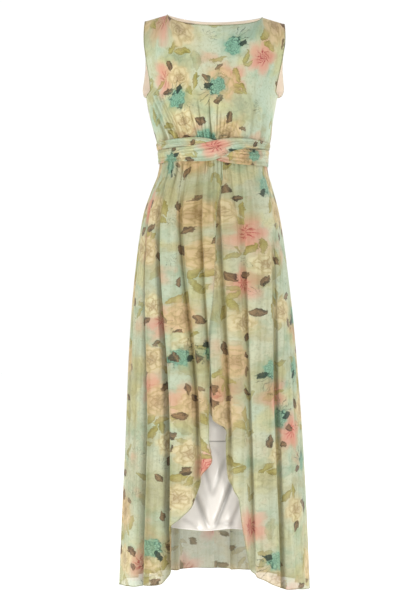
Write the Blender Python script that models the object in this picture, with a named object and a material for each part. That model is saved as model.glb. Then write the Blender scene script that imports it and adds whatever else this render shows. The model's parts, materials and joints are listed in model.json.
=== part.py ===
"""A sleeveless floor-length swing dress in printed chiffon over a satin lining, filled out as if worn.

Metres, +Z up. The origin is where the shoulders carry the dress: midway between the neck points of the two shoulder
seams, level with the higher one. The front faces -Y and the wearer's left side is +X. Angles run round the figure in
degrees, from 0 at the centre front to 90 at the +X side seam and 180 at the centre back.
"""

import bpy
import numpy as np

# Driving sizes, in metres
CLOTH = 0.0015
LINING_CLOTH = 0.0012
HALF_GAP = 0.00015
WAIST = -0.368
UNDERARM = -0.206
LINING_HEM = -1.262
NECK_POINT_X = 0.118
SHOULDER_TIP = (0.175, -0.017)
SHOULDER_DROP = 0.0065
FRONT_NECK = (-0.070, -0.0385)
BACK_NECK = (0.052, -0.0085)
SIDE_ANGLE = 90.0
# Share of a bodice panel's columns that end at the neck, and how far the columns draw in above the bust, in
# degrees
NECK_SHARE = 0.64
FRONT_SQUEEZE = 27.0
BACK_SQUEEZE = 28.0


def table(names, *rows):
    """Named columns, each an array with one number for each row."""
    return dict(zip(names.split(), np.array(rows, float).T))


# Level sections of the dress, from the bust to the hem
FIGURE = table(
    "height half_width front back",
    (-0.180, 0.1740, 0.1148, 0.112),
    (-0.206, 0.1645, 0.1205, 0.111),
    (-0.235, 0.1590, 0.1235, 0.110),
    (-0.260, 0.1540, 0.1205, 0.107),
    (-0.290, 0.1480, 0.113, 0.101),
    (-0.315, 0.1425, 0.106, 0.096),
    (-0.345, 0.1370, 0.099, 0.091),
    (-0.370, 0.1350, 0.097, 0.089),
    (-0.400, 0.1390, 0.101, 0.094),
    (-0.425, 0.1475, 0.108, 0.104),
    (-0.450, 0.1560, 0.115, 0.115),
    (-0.500, 0.1705, 0.128, 0.133),
    (-0.600, 0.1860, 0.144, 0.155),
    (-0.800, 0.2065, 0.165, 0.184),
    (-1.100, 0.2230, 0.188, 0.212),
    (-1.435, 0.2370, 0.211, 0.238),
)
# The armhole edge of each bodice panel, and how far the chest or the shoulder blades stand out at that height
FRONT_ARMHOLE = table(
    "height edge_x edge_y depth half_width",
    (-0.2060, 0.1645, 0.0000, 0.1205, 0.1645),
    (-0.2035, 0.1622, 0.0228, 0.1200, 0.1652),
    (-0.1960, 0.1560, 0.0431, 0.1185, 0.1675),
    (-0.1800, 0.1575, 0.0488, 0.1148, 0.1740),
    (-0.1550, 0.1620, 0.0518, 0.1083, 0.1845),
    (-0.1250, 0.1680, 0.0500, 0.0999, 0.1940),
    (-0.0900, 0.1735, 0.0445, 0.0895, 0.2000),
)
BACK_ARMHOLE = table(
    "height edge_x edge_y depth half_width",
    (-0.2060, 0.1645, 0.0000, 0.1110, 0.1645),
    (-0.2035, 0.1690, 0.0240, 0.1112, 0.1652),
    (-0.1960, 0.1755, 0.0400, 0.1116, 0.1675),
    (-0.1800, 0.1790, 0.0500, 0.1120, 0.1740),
    (-0.1550, 0.1765, 0.0540, 0.1105, 0.1825),
    (-0.1250, 0.1740, 0.0530, 0.1060, 0.1890),
    (-0.0900, 0.1740, 0.0430, 0.0960, 0.1925),
)
# The filled-out dress hangs a little off centre, by a different amount at each height
SWAY = table(
    "height aside",
    (-1.4350, 0.0019),
    (-1.1130, 0.0004),
    (-0.8130, -0.0042),
    (-0.6050, -0.0066),
    (-0.5100, -0.0067),
    (-0.4500, -0.0046),
    (-0.4100, -0.0024),
    (-0.3500, -0.0015),
    (-0.3150, -0.0021),
    (-0.2550, -0.0056),
    (-0.2150, -0.0060),
    (-0.1900, -0.0020),
    (-0.1100, 0.0005),
    (0.0000, 0.0020),
)
# Gathers of the front bodice: place is the share of the way from the centre front to the side, and the gather
# runs from the waist up to the height in top
BODICE_GATHERS = table(
    "place width depth top",
    (-0.640, 0.050, 0.0070, -0.170),
    (-0.500, 0.030, 0.0050, -0.200),
    (-0.400, 0.024, 0.0045, -0.210),
    (-0.310, 0.022, 0.0045, -0.220),
    (-0.215, 0.020, 0.0048, -0.230),
    (-0.120, 0.018, 0.0048, -0.235),
    (-0.025, 0.018, 0.0052, -0.210),
    (0.085, 0.018, 0.0050, -0.210),
    (0.170, 0.018, 0.0048, -0.225),
    (0.260, 0.020, 0.0040, -0.240),
    (0.360, 0.024, 0.0035, -0.245),
    (0.620, 0.050, 0.0050, -0.195),
)
# Folds of the skirt: each is a trough that leans from one angle at the waist to another at the hem, deepens
# from its top down to the hem, and is steeper on its +angle side
SKIRT_FOLDS = table(
    "at_waist at_hem width depth top",
    (-158.0, -152.0, 5.0, 0.018, -0.400),
    (-140.0, -133.0, 5.5, 0.020, -0.390),
    (-118.0, -112.0, 6.0, 0.020, -0.440),
    (-68.0, -50.0, 4.6, 0.025, -0.440),
    (-49.0, -30.0, 4.4, 0.026, -0.385),
    (-29.0, -10.0, 4.0, 0.019, -0.385),
    (-9.5, -1.6, 2.4, 0.010, -0.380),
    (5.0, 10.0, 3.6, 0.013, -0.400),
    (26.0, 24.0, 4.4, 0.011, -0.420),
    (62.0, 47.0, 4.6, 0.019, -0.500),
    (114.0, 108.0, 6.0, 0.020, -0.460),
    (136.0, 130.0, 5.5, 0.021, -0.400),
    (155.0, 149.0, 5.0, 0.017, -0.385),
    (172.0, 168.0, 4.2, 0.013, -0.380),
)
FOLD_SKEW = 0.3
# Where the free front edges swing towards each other as they fall
SWINGS = table(
    "angle height width tall swing",
    (-3.4, -1.096, 4.0, 0.026, 2.6),
    (6.0, -1.030, 4.0, 0.020, 1.2),
)
# Short gathers under the waist seam, between the folds
WAIST_GATHERS = table(
    "at_waist width depth",
    (-170.0, 2.2, 0.0040),
    (-149.0, 2.4, 0.0038),
    (-38.0, 2.2, 0.0036),
    (-19.0, 2.2, 0.0042),
    (-12.5, 2.0, 0.0040),
    (-3.0, 2.0, 0.0042),
    (11.5, 2.0, 0.0042),
    (18.5, 2.2, 0.0038),
    (145.0, 2.4, 0.0038),
    (163.5, 2.2, 0.0040),
)
# Lower edge of each front skirt panel, by angle at the hem: it climbs from the hem to the waist as the
# panel's free front edge. The over panel comes from the -X side seam and the under panel from the +X one
OVER_EDGE = table(
    "angle height",
    (-90.0, -1.421),
    (-70.0, -1.413),
    (-50.0, -1.401),
    (-36.0, -1.390),
    (-31.0, -1.372),
    (-28.4, -1.340),
    (-27.2, -1.266),
    (-20.0, -1.226),
    (-12.5, -1.184),
    (-8.0, -1.139),
    (-4.0, -1.092),
    (-3.1, -1.030),
    (-2.5, -0.965),
    (-0.8, -0.850),
    (2.2, -0.720),
    (5.5, -0.600),
    (9.0, -0.500),
    (13.0, -0.415),
)
UNDER_EDGE = table(
    "angle height",
    (-13.0, -0.430),
    (-9.0, -0.600),
    (-6.5, -0.800),
    (-4.8, -0.930),
    (-3.3, -0.975),
    (1.0, -1.003),
    (5.4, -1.030),
    (6.1, -1.085),
    (8.0, -1.132),
    (14.2, -1.182),
    (15.2, -1.250),
    (17.6, -1.325),
    (21.0, -1.351),
    (27.0, -1.369),
    (41.0, -1.402),
    (60.0, -1.415),
    (90.0, -1.433),
)
BACK_HEM = table(
    "angle height",
    (90.0, -1.433),
    (180.0, -1.428),
    (270.0, -1.421),
)
# The over panel stands out from the under one by a lap that eases away towards its side seam
LAP = table(
    "angle share",
    (-60.0, 0.0),
    (-24.0, 1.0),
    (13.0, 1.0),
)
LAP_OUT = table(
    "height out",
    (-1.435, 0.0050),
    (-0.600, 0.0048),
    (-0.480, 0.0040),
    (-0.400, 0.0034),
    (-0.368, 0.0027),
)
# How far inside the skirt's sections the lining hangs
LINING_INSET = table(
    "height inset",
    (-1.262, 0.0340),
    (-1.000, 0.0310),
    (-0.700, 0.0240),
    (-0.500, 0.0155),
    (-0.430, 0.0105),
    (-0.396, 0.0078),
    (-0.380, 0.0058),
    (-0.368, 0.0034),
)
LINING_WAVES = table(
    "angle width depth",
    (-62.0, 9.0, 0.008),
    (-14.0, 7.0, 0.008),
    (12.0, 7.0, 0.006),
    (55.0, 9.0, 0.008),
    (120.0, 9.0, 0.008),
    (160.0, 9.0, 0.008),
    (205.0, 9.0, 0.008),
    (245.0, 9.0, 0.008),
)
# The two lengths of the sash, which cross at the centre front: upper and lower edge, and how far the cloth
# stands out from the waist
SASH_OVER = table(
    "angle upper lower out",
    (-89.9, -0.3420, -0.3745, 0.0023),
    (-70.0, -0.3415, -0.3745, 0.0044),
    (-48.0, -0.3412, -0.3745, 0.0050),
    (-38.0, -0.3405, -0.3745, 0.0076),
    (-24.0, -0.3380, -0.3755, 0.0082),
    (-10.0, -0.3320, -0.3760, 0.0084),
    (0.0, -0.3270, -0.3735, 0.0086),
    (10.0, -0.3220, -0.3630, 0.0084),
    (24.0, -0.3190, -0.3475, 0.0080),
    (38.0, -0.3195, -0.3425, 0.0074),
    (48.0, -0.3205, -0.3415, 0.0044),
    (60.0, -0.3225, -0.3412, 0.0036),
    (89.9, -0.3245, -0.3410, 0.0023),
)
SASH_UNDER = table(
    "angle upper lower out",
    (-89.9, -0.3245, -0.3415, 0.0023),
    (-60.0, -0.3215, -0.3405, 0.0040),
    (-34.0, -0.3185, -0.3394, 0.0048),
    (-20.0, -0.3175, -0.3450, 0.0048),
    (-8.0, -0.3200, -0.3580, 0.0049),
    (4.0, -0.3280, -0.3740, 0.0049),
    (14.0, -0.3360, -0.3795, 0.0049),
    (26.0, -0.3420, -0.3822, 0.0048),
    (40.0, -0.3440, -0.3832, 0.0046),
    (60.0, -0.3430, -0.3830, 0.0040),
    (89.9, -0.3420, -0.3822, 0.0023),
)
SASH_PLEATS = 3
SASH_PLEAT_DEPTH = 0.0010

# Share of the way from a panel's top edge to its lower edge, for each row of points
SKIRT_ROWS = (0.0, 0.011, 0.027, 0.055, 0.095, 0.15, 0.22, 0.32, 0.44, 0.58, 0.72, 0.87, 1.0)
FOLD_STEPS = (-2.2, -0.9, 0.0, 0.5, 1.2)
BODICE_LEVELS = (-0.345, -0.315, -0.285, -0.255, -0.228, -0.206, -0.2035, -0.196, -0.180, -0.155, -0.125, -0.090)
SHOULDER_ROWS = (0.3, 0.6, 0.85, 1.0)


def read(columns, key, value, at):
    """A smooth curve through a table's rows that never swings past them, read at the values in at."""
    x, y = columns[key], columns[value]
    if x[0] > x[-1]:
        x, y = x[::-1], y[::-1]
    at = np.clip(at, x[0], x[-1])
    step = np.diff(x)
    slope = np.diff(y) / step
    inner = np.where(slope[:-1] * slope[1:] > 0, 2 * slope[:-1] * slope[1:] / (slope[:-1] + slope[1:] + 1e-30), 0)
    tangent = np.concatenate([slope[:1], inner, slope[-1:]])
    i = np.clip(np.searchsorted(x, at, side="right") - 1, 0, len(step) - 1)
    t = (at - x[i]) / step[i]
    rise = t * t * (3 - 2 * t)
    ease_in = t * (1 - t) ** 2 * step[i] * tangent[i]
    ease_out = t * t * (1 - t) * step[i] * tangent[i + 1]
    return y[i] * (1 - rise) + y[i + 1] * rise + ease_in - ease_out


def ease(share):
    """0 to 1 with level ends."""
    share = np.clip(share, 0, 1)
    return share * share * (3 - 2 * share)


def section(angle, height, out=0.0):
    """A point of the level section at that height, moved outwards along the section's own normal."""
    a = np.radians(angle)
    width = read(FIGURE, "height", "half_width", height)
    front = read(FIGURE, "height", "front", height)
    back = read(FIGURE, "height", "back", height)
    depth = np.where(np.cos(a) > 0, front, back)
    normal = np.stack([np.sin(a) * depth, -np.cos(a) * width], -1)
    normal /= np.linalg.norm(normal, axis=-1, keepdims=True)
    x = width * np.sin(a) + out * normal[..., 0]
    y = -depth * np.cos(a) + out * normal[..., 1]
    return np.stack([x, y, np.broadcast_to(height, x.shape)], -1)


def turned(angle):
    """The same angle between -180 and 180."""
    return (np.asarray(angle, float) + 180.0) % 360.0 - 180.0


def leaned(angle, height):
    """Angle round the figure of the cloth that reaches the hem at the given angle: folds lean in to the waist."""
    hem = np.concatenate([[-180, -90], SKIRT_FOLDS["at_hem"], [90, 180]])
    waist = np.concatenate([[-180, -90], SKIRT_FOLDS["at_waist"], [90, 180]])
    order = np.argsort(hem)
    shift = np.interp(turned(angle), hem[order], (waist - hem)[order])
    columns = (SWINGS[k] for k in ("angle", "height", "width", "tall", "swing"))
    for centre, level, width, tall, swing in zip(*columns):
        near = np.exp(-(((height - level) / tall) ** 2) - ((turned(angle) - centre) / width) ** 2)
        angle = angle + swing * near
    return angle + shift * (1 - ease((WAIST - height) / 0.75)) ** 1.5


def fold_depth(angle, height):
    """How far the skirt's folds and gathers draw the cloth in, at a hem angle and a height."""
    drawn = np.zeros(np.broadcast(angle, height).shape)
    for hem, width, depth, top in zip(*(SKIRT_FOLDS[k] for k in ("at_hem", "width", "depth", "top"))):
        share = np.clip((top - height) / 1.05, 0, 1)
        aside = turned(angle - hem)
        bell = np.exp(-((aside / (width * (1 - FOLD_SKEW * np.sign(aside)))) ** 2))
        drawn += depth * np.sqrt(share) * ease(share / 0.08) * bell
    around = leaned(angle, np.broadcast_to(WAIST, drawn.shape))
    for waist, width, depth in zip(*(WAIST_GATHERS[k] for k in ("at_waist", "width", "depth"))):
        near = ease((WAIST - height) / 0.03) * (1 - ease((WAIST - 0.04 - height) / 0.15))
        drawn += depth * near * np.exp(-((turned(around - waist) / width) ** 2))
    return drawn


def lap(angle, height):
    """How far the over panel stands out from the under one."""
    share = ease(np.interp(angle, LAP["angle"], LAP["share"]))
    return share * read(LAP_OUT, "height", "out", height)


def skirt_points(angles, bottoms, lapped=False):
    """Outer points of a skirt panel: a column down each hem angle, from the waist seam to its lower edge."""
    share = np.array(SKIRT_ROWS)[:, None]
    top = WAIST - HALF_GAP
    height = top + share * (bottoms - top)
    angle = np.broadcast_to(angles, height.shape)
    out = -fold_depth(angle, height)
    if lapped:
        out = out + lap(angle, height)
    return section(leaned(angle, height), height, out)


def columns_between(start, end, kept=(), nearest=1.0, widest=7.0):
    """Angles for a panel's columns: both ends, the kept ones, each fold's sides and foot, and steps between."""
    order = np.argsort(SKIRT_FOLDS["at_waist"])
    gathers = np.interp(WAIST_GATHERS["at_waist"], SKIRT_FOLDS["at_waist"][order], SKIRT_FOLDS["at_hem"][order])
    folds = list(zip(SKIRT_FOLDS["at_hem"], SKIRT_FOLDS["width"]))
    places = [(hem, width * k) for k in FOLD_STEPS for hem, width in folds]
    places += [(hem, width * k) for k in (-1, 0, 1) for hem, width in zip(gathers, WAIST_GATHERS["width"])]
    chosen = [start, end, *(angle for angle in kept if start < angle < end)]
    for hem, aside in places:
        angle = (hem if start <= hem <= end else hem + 360.0) + aside
        if start < angle < end and min(abs(angle - other) for other in chosen) >= nearest:
            chosen.append(angle)
    chosen = np.sort(chosen)
    filled = [np.linspace(a, b, int(np.ceil((b - a) / widest)) + 1)[:-1] for a, b in zip(chosen[:-1], chosen[1:])]
    return np.concatenate([*filled, [end]])


def neck_edge(place, neck):
    """A point of the neck and shoulder edge. place runs from 0 at the centre to 1 at the tip of the shoulder."""
    turn = np.clip(place / NECK_SHARE, 0, 1) * np.pi / 2
    along = np.clip((place - NECK_SHARE) / (1 - NECK_SHARE), 0, 1)
    tip_x, tip_z = SHOULDER_TIP
    x = NECK_POINT_X * np.sin(turn) + along * (tip_x - NECK_POINT_X)
    y = neck[0] * np.cos(turn) ** 2
    z = neck[1] * np.abs(np.cos(turn)) ** 1.4 + along * tip_z
    return np.stack([x, y, z], -1)


def gather_depth(place, height):
    """How far the gathers of the front bodice draw the cloth in."""
    drawn = np.zeros(np.broadcast(place, height).shape)
    for centre, width, depth, top in zip(*(BODICE_GATHERS[k] for k in ("place", "width", "depth", "top"))):
        fade = 1 - ease((height - WAIST) / (top - WAIST))
        spread = width * (1 + 1.2 * (1 - fade))
        fanned = centre * (1 + 0.12 * (1 - fade))
        drawn += depth * fade * np.exp(-(((place - fanned) / spread) ** 2))
    return drawn


def bodice_angle(share, height, edge_angle, squeeze):
    """Angles of the bodice's columns at one height: even at the waist, and drawn in above the bust to the armhole.

    The outermost column follows the armhole edge exactly, and the others ease in over a longer height.
    """
    eased = SIDE_ANGLE - squeeze * ease((height + 0.29) / 0.13)
    follow = share**6
    return share * (follow * edge_angle + (1 - follow) * eased)


def bodice_points(places, behind=False):
    """Outer points of a bodice panel, waist to shoulder. places are signed shares of the way to the side edge."""
    armhole = BACK_ARMHOLE if behind else FRONT_ARMHOLE
    facing = 1.0 if behind else -1.0
    squeeze = BACK_SQUEEZE if behind else FRONT_SQUEEZE
    sign, share = np.sign(places), np.abs(places)
    rows = []
    for height in (WAIST + HALF_GAP, *BODICE_LEVELS):
        if height <= UNDERARM:
            half_width = edge_x = read(FIGURE, "height", "half_width", height)
            edge_y = 0.0
            depth = read(FIGURE, "height", "back" if behind else "front", height)
        else:
            columns = ("edge_x", "edge_y", "depth", "half_width")
            edge_x, edge_y, depth, half_width = (read(armhole, "height", k, height) for k in columns)
        edge_angle = np.arccos(edge_y / depth)
        turn = np.radians(bodice_angle(share, height, np.degrees(edge_angle), squeeze))
        x = half_width * np.sin(turn) + share**6 * (edge_x - half_width * np.sin(edge_angle))
        point = np.stack([x, facing * depth * np.cos(turn), np.full(len(places), height)], -1)
        if not behind:
            drawn = gather_depth(sign * turn * 2 / np.pi, height)
            point[:, :2] -= np.stack([np.sin(turn), facing * np.cos(turn)], -1) * drawn[:, None]
        rows.append(point)
    base, below = rows[-1], rows[-2]
    edge = neck_edge(share, BACK_NECK if behind else FRONT_NECK)
    edge[:, 2] -= SHOULDER_DROP * ease(share / NECK_SHARE) * (sign > 0)
    leave = base - below
    leave /= np.linalg.norm(leave, axis=1, keepdims=True)
    over = ease(share / NECK_SHARE)[:, None]
    arrive = (1 - over) * np.array([0, -facing * 0.30, 0.95]) + over * np.array([0, -facing * 0.93, 0.36])
    reach = np.linalg.norm(edge - base, axis=1, keepdims=True)
    for t in SHOULDER_ROWS:
        rows.append(
            base * (1 - ease(t))
            + edge * ease(t)
            + reach * (t * (1 - t) ** 2 * leave - t * t * (1 - t) * arrive)
        )
    points = np.array(rows)
    points[..., 0] *= np.where(sign == 0, 1, sign)
    return points


def normals_of(points):
    """Unit normals of a grid that face away from the middle of the dress, and whether they were turned."""
    across = np.gradient(points, axis=1)
    along = np.gradient(points, axis=0)
    normal = np.cross(across, along)
    normal /= np.linalg.norm(normal, axis=-1, keepdims=True)
    turned_over = np.sum(normal[..., :2] * points[..., :2]) < 0
    return (-normal if turned_over else normal), turned_over


def cloth_wall(name, outer, material, thickness=CLOTH, seams=()):
    """A closed cloth wall: outer points, the same points moved in, and a rim round the edge.

    seams lists (rows, columns, axis) where the wall is squared off to the seam's plane, so that two panels that meet
    there stay apart by the seam gap through their whole thickness.
    """
    normal, turned_over = normals_of(outer)
    for rows, columns, axis in seams:
        flat = normal[rows, columns]
        flat[..., axis] = 0
        normal[rows, columns] = flat / np.linalg.norm(flat, axis=-1, keepdims=True)
    inner = outer - thickness * normal
    index = np.arange(outer.shape[0] * outer.shape[1]).reshape(outer.shape[:2])
    second = index.size
    a, b, c, d = (g.ravel() for g in (index[:-1, :-1], index[:-1, 1:], index[1:, 1:], index[1:, :-1]))
    skin = np.concatenate([np.stack([a, b, c], 1), np.stack([a, c, d], 1)])
    edge = np.concatenate([index[0, :-1], index[:-1, -1], index[-1, :0:-1], index[:0:-1, 0]])
    ahead = np.roll(edge, -1)
    rim = [np.stack([ahead, edge, edge + second], 1), np.stack([ahead, edge + second, ahead + second], 1)]
    faces = np.concatenate([skin, skin[:, ::-1] + second, *rim])
    points = np.concatenate([outer.reshape(-1, 3), inner.reshape(-1, 3)])
    points[:, 0] += read(SWAY, "height", "aside", points[:, 2])
    if turned_over:
        faces = faces[:, ::-1]
    mesh = bpy.data.meshes.new(name)
    mesh.from_pydata(points, [], faces.tolist())
    mesh.materials.append(material)
    mesh.shade_smooth()
    mesh.set_sharp_from_angle(angle=np.radians(50))
    piece = bpy.data.objects.new(name, mesh)
    bpy.context.scene.collection.objects.link(piece)
    piece.parent = bpy.data.objects["shoulders"]


def finish_of(name, colour, roughness):
    """A plain cloth material."""
    material = bpy.data.materials.new(name)
    material.use_nodes = True
    shader = material.node_tree.nodes["Principled BSDF"]
    shader.inputs["Base Color"].default_value = (*colour, 1.0)
    shader.inputs["Roughness"].default_value = roughness
    shader.inputs["Metallic"].default_value = 0.0
    return material


def bodice(chiffon):
    """A gathered front, and two back panels that meet at the centre back seam."""
    wanted = [g + k * w for g, w in zip(BODICE_GATHERS["place"], BODICE_GATHERS["width"]) for k in (-0.9, 0.0, 0.9)]
    wanted = [w for w in wanted if abs(abs(w) - NECK_SHARE) > 0.015]
    wanted += [-0.98, -0.95, -0.9, -0.78, -NECK_SHARE, 0.46, 0.54, NECK_SHARE, 0.78, 0.9, 0.95, 0.98, 1.0]
    front = [-1.0]
    for place in sorted(wanted):
        if place - front[-1] > 0.014:
            front.append(place)
    front = np.array(front)
    back = np.array([0.0, 0.08, 0.18, 0.29, 0.40, 0.52, NECK_SHARE, 0.74, 0.84, 0.92, 0.97, 1.0])
    sides = sum(height <= UNDERARM for height in (WAIST, *BODICE_LEVELS))
    every, bottom, low, top = slice(None), slice(0, 1), slice(0, sides), slice(-1, None)

    points = bodice_points(front)
    shoulder = np.flatnonzero(np.abs(front) >= NECK_SHARE)
    points[low, [0, -1], 1] = -HALF_GAP
    points[-1, shoulder, 1] = -HALF_GAP
    seams = [(low, [0, -1], 1), (top, shoulder, 1), (bottom, every, 2)]
    cloth_wall("bodice_front", points, chiffon, seams=seams)

    shoulder = np.flatnonzero(back >= NECK_SHARE)
    for name, side in (("bodice_back_left", 1.0), ("bodice_back_right", -1.0)):
        points = bodice_points(side * back, behind=True)
        points[:, 0, 0] = side * HALF_GAP
        points[low, -1, 1] = HALF_GAP
        points[-1, shoulder, 1] = HALF_GAP
        seams = [(every, [0], 0), (low, [-1], 1), (top, shoulder, 1), (bottom, every, 2)]
        cloth_wall(name, points, chiffon, seams=seams)


def skirt(chiffon):
    """Two front panels that cross, with the same columns where they lap, and two back panels that meet."""
    every, top = slice(None), slice(0, 1)
    edges = [*OVER_EDGE["angle"], *UNDER_EDGE["angle"]]
    lap_start, lap_end = UNDER_EDGE["angle"][0], OVER_EDGE["angle"][-1]
    both = columns_between(lap_start, lap_end, edges)
    over = np.concatenate([columns_between(-SIDE_ANGLE, lap_start, edges)[:-1], both])
    under = np.concatenate([both, columns_between(lap_end, SIDE_ANGLE, edges)[1:]])
    for name, shape, lapped, angles, side in (
        ("skirt_front_over", OVER_EDGE, True, over, 0),
        ("skirt_front_under", UNDER_EDGE, False, under, -1),
    ):
        points = skirt_points(angles, read(shape, "angle", "height", angles), lapped)
        points[:, side, 1] = -HALF_GAP
        cloth_wall(name, points, chiffon, seams=[(every, [side], 1), (top, every, 2)])
    for name, start, centre, side in (("skirt_back_left", 90.0, -1, 0), ("skirt_back_right", 180.0, 0, -1)):
        angles = columns_between(start, start + 90.0)
        points = skirt_points(angles, read(BACK_HEM, "angle", "height", angles))
        points[:, side, 1] = HALF_GAP
        points[:, centre, 0] = HALF_GAP if start == 90.0 else -HALF_GAP
        cloth_wall(name, points, chiffon, seams=[(every, [centre], 0), (every, [side], 1), (top, every, 2)])


def lining(satin):
    """The satin underskirt, a front and a back half, hanging clear inside the folds of the skirt."""
    top = WAIST - HALF_GAP
    levels = top + np.array(SKIRT_ROWS) * (BACK_HEM["height"][0] - top)
    levels = np.append(levels[levels > LINING_HEM + 0.05], LINING_HEM)
    for name, start in (("lining_front", -90.0), ("lining_back", 90.0)):
        angles = np.linspace(start, start + 180.0, 21)
        height = levels[:, None] + 0 * angles
        inset = read(LINING_INSET, "height", "inset", height)
        for centre, width, depth in zip(*(LINING_WAVES[k] for k in ("angle", "width", "depth"))):
            inset = inset + depth * ease((-0.6 - height) / 0.66) * np.exp(-(((angles - centre) / width) ** 2))
        points = section(np.broadcast_to(angles, height.shape), height, -inset)
        points[:, [0, -1], 1] = -HALF_GAP if start < 0 else HALF_GAP
        seams = [(slice(None), [0, -1], 1), (slice(0, 1), slice(None), 2)]
        cloth_wall(name, points, satin, LINING_CLOTH, seams)


def sash(chiffon):
    """Two pleated lengths of cloth from side seam to side seam, one over the other where they cross."""
    for name, shape in (("sash_over", SASH_OVER), ("sash_under", SASH_UNDER)):
        angles = np.linspace(-SIDE_ANGLE, SIDE_ANGLE, 33)
        upper, lower, out = (read(shape, "angle", k, angles) for k in ("upper", "lower", "out"))
        across = np.linspace(0, 1, 2 * SASH_PLEATS + 1)[:, None]
        height = lower + across * (upper - lower)
        pleat = SASH_PLEAT_DEPTH * np.sin(across * np.pi * SASH_PLEATS) ** 2
        points = section(np.broadcast_to(angles, height.shape), height, out + pleat)
        points[:, [0, -1], 1] = -HALF_GAP
        cloth_wall(name, points, chiffon, seams=[(slice(None), [0, -1], 1)])


def main():
    """Clears the scene and sews the dress."""
    for old in list(bpy.data.objects):
        bpy.data.objects.remove(old)
    shoulders = bpy.data.objects.new("shoulders", None)
    bpy.context.scene.collection.objects.link(shoulders)
    chiffon = finish_of("chiffon", (0.62, 0.68, 0.50), 0.75)
    satin = finish_of("satin", (0.86, 0.84, 0.84), 0.35)
    bodice(chiffon)
    sash(chiffon)
    skirt(chiffon)
    lining(satin)


main()
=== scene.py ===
# %% [markdown]
# # A swing dress in printed chiffon
#
# The real dress is sleeveless and reaches the floor. Its bodice is gathered into the waist, two pleated lengths of
# cloth cross over the front of the waist, and the skirt is four panels of sheer chiffon over a white satin lining. The
# two front panels lap over each other and part below the knee.
#
# A imported CAD model gives the shapes: eleven cloth walls on a round figure. This notebook puts finer cloth on
# them, then dyes, prints and lights it. It could all be done with a cloth simulation, but a hanging dress is mostly
# long soft folds in known places, so each surface is worked out from formulas and the folds are placed one by one.
#
# Metres throughout. The origin is between the shoulders, +Z is up, the front faces -Y, and angles run round the
# figure in degrees from 0 at the centre front to 90 at the +X side seam and 180 at the centre back.

# %% Load the imported dress
import json
from types import SimpleNamespace

import bmesh
import bpy
import numpy as np
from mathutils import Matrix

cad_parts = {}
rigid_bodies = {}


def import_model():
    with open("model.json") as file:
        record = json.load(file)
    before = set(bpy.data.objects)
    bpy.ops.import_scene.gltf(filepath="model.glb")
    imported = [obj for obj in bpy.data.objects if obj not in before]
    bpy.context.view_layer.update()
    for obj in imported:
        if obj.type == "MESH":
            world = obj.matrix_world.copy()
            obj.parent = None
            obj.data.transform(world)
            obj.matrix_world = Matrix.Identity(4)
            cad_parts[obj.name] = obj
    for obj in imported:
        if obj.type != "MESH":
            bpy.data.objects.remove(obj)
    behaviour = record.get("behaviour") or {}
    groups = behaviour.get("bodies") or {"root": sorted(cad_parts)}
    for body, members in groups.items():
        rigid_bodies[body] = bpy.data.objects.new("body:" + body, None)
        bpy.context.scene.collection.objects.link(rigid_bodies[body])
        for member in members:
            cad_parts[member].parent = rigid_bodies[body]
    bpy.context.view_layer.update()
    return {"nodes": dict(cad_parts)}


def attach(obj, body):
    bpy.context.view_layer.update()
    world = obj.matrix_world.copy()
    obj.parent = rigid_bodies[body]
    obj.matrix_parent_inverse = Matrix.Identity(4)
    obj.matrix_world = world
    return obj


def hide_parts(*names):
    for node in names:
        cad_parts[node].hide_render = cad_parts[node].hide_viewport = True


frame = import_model()
print("cloth walls in the packed model:", ", ".join(frame["nodes"]))

# %% [markdown]
# ## The camera, the floor and the light
#
# A dress is photographed from some way off, so that it isn't foreshortened. This camera stands 3.5 m in front, level
# with the hips, and its long lens sees 1.5 m of height there. The view is kept free of a back wall, so that the
# dress can be looked at from any side: a white world stands in for the paper sweep of a studio.

# %% Place the camera
CAMERA_AWAY = 3.5
scene = bpy.context.scene
lens = bpy.data.cameras.new("studio_camera")
lens.lens = 84.0
lens.sensor_width = 36.0
lens.dof.use_dof = False
camera = bpy.data.objects.new("studio_camera", lens)
camera.location = (-0.01375, -CAMERA_AWAY, -0.713)
camera.rotation_euler = (np.radians(90.0), 0.0, 0.0)
scene.collection.objects.link(camera)
scene.camera = camera
scene.view_settings.view_transform = "Standard"
scene.view_settings.look = "None"
scene.view_settings.exposure = 0.62
print("the camera sees", round(CAMERA_AWAY * lens.sensor_width / lens.lens, 3), "m of height at the dress")

# %% [markdown]
# The light is soft, as in a shop's photograph: the white world gives most of it, and large square lights add a little
# shape. The key light stands low at the left, so that each fold is lighter on its left side. A small low one lifts the
# hem, where daylight would come through a single layer of cloth.

# %% Light it softly
def soft_box(name, place, aim, size, watts, colour):
    """A large square light at place that faces aim."""
    light = bpy.data.lights.new(name, "AREA")
    light.size = size
    light.energy = watts
    light.color = colour
    box = bpy.data.objects.new(name, light)
    box.location = place
    toward = np.array(aim) - np.array(place)
    box.rotation_euler = (np.arctan2(np.hypot(*toward[:2]), -toward[2]), 0.0, -np.arctan2(toward[0], toward[1]))
    scene.collection.objects.link(box)


soft_box("key_light", (-4.2, -2.7, -1.2), (0.0, 0.0, -1.05), 1.5, 132.0, (1.0, 0.985, 0.955))
soft_box("fill_light", (3.4, -3.4, -1.4), (0.1, 0.0, -1.35), 1.6, 66.0, (1.0, 0.99, 0.965))
soft_box("low_light", (1.5, -1.9, -1.38), (0.17, -0.1, -1.40), 0.4, 7.0, (1.0, 0.99, 0.965))
soft_box("back_light", (3.6, 3.2, 1.2), (0.0, 0.0, -0.7), 2.0, 70.0, (1.0, 0.99, 0.97))
world = bpy.data.worlds.new("white_room")
world.use_nodes = True
world.node_tree.nodes["Background"].inputs["Color"].default_value = (1.0, 1.0, 1.0, 1.0)
world.node_tree.nodes["Background"].inputs["Strength"].default_value = 0.675
scene.world = world

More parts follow.
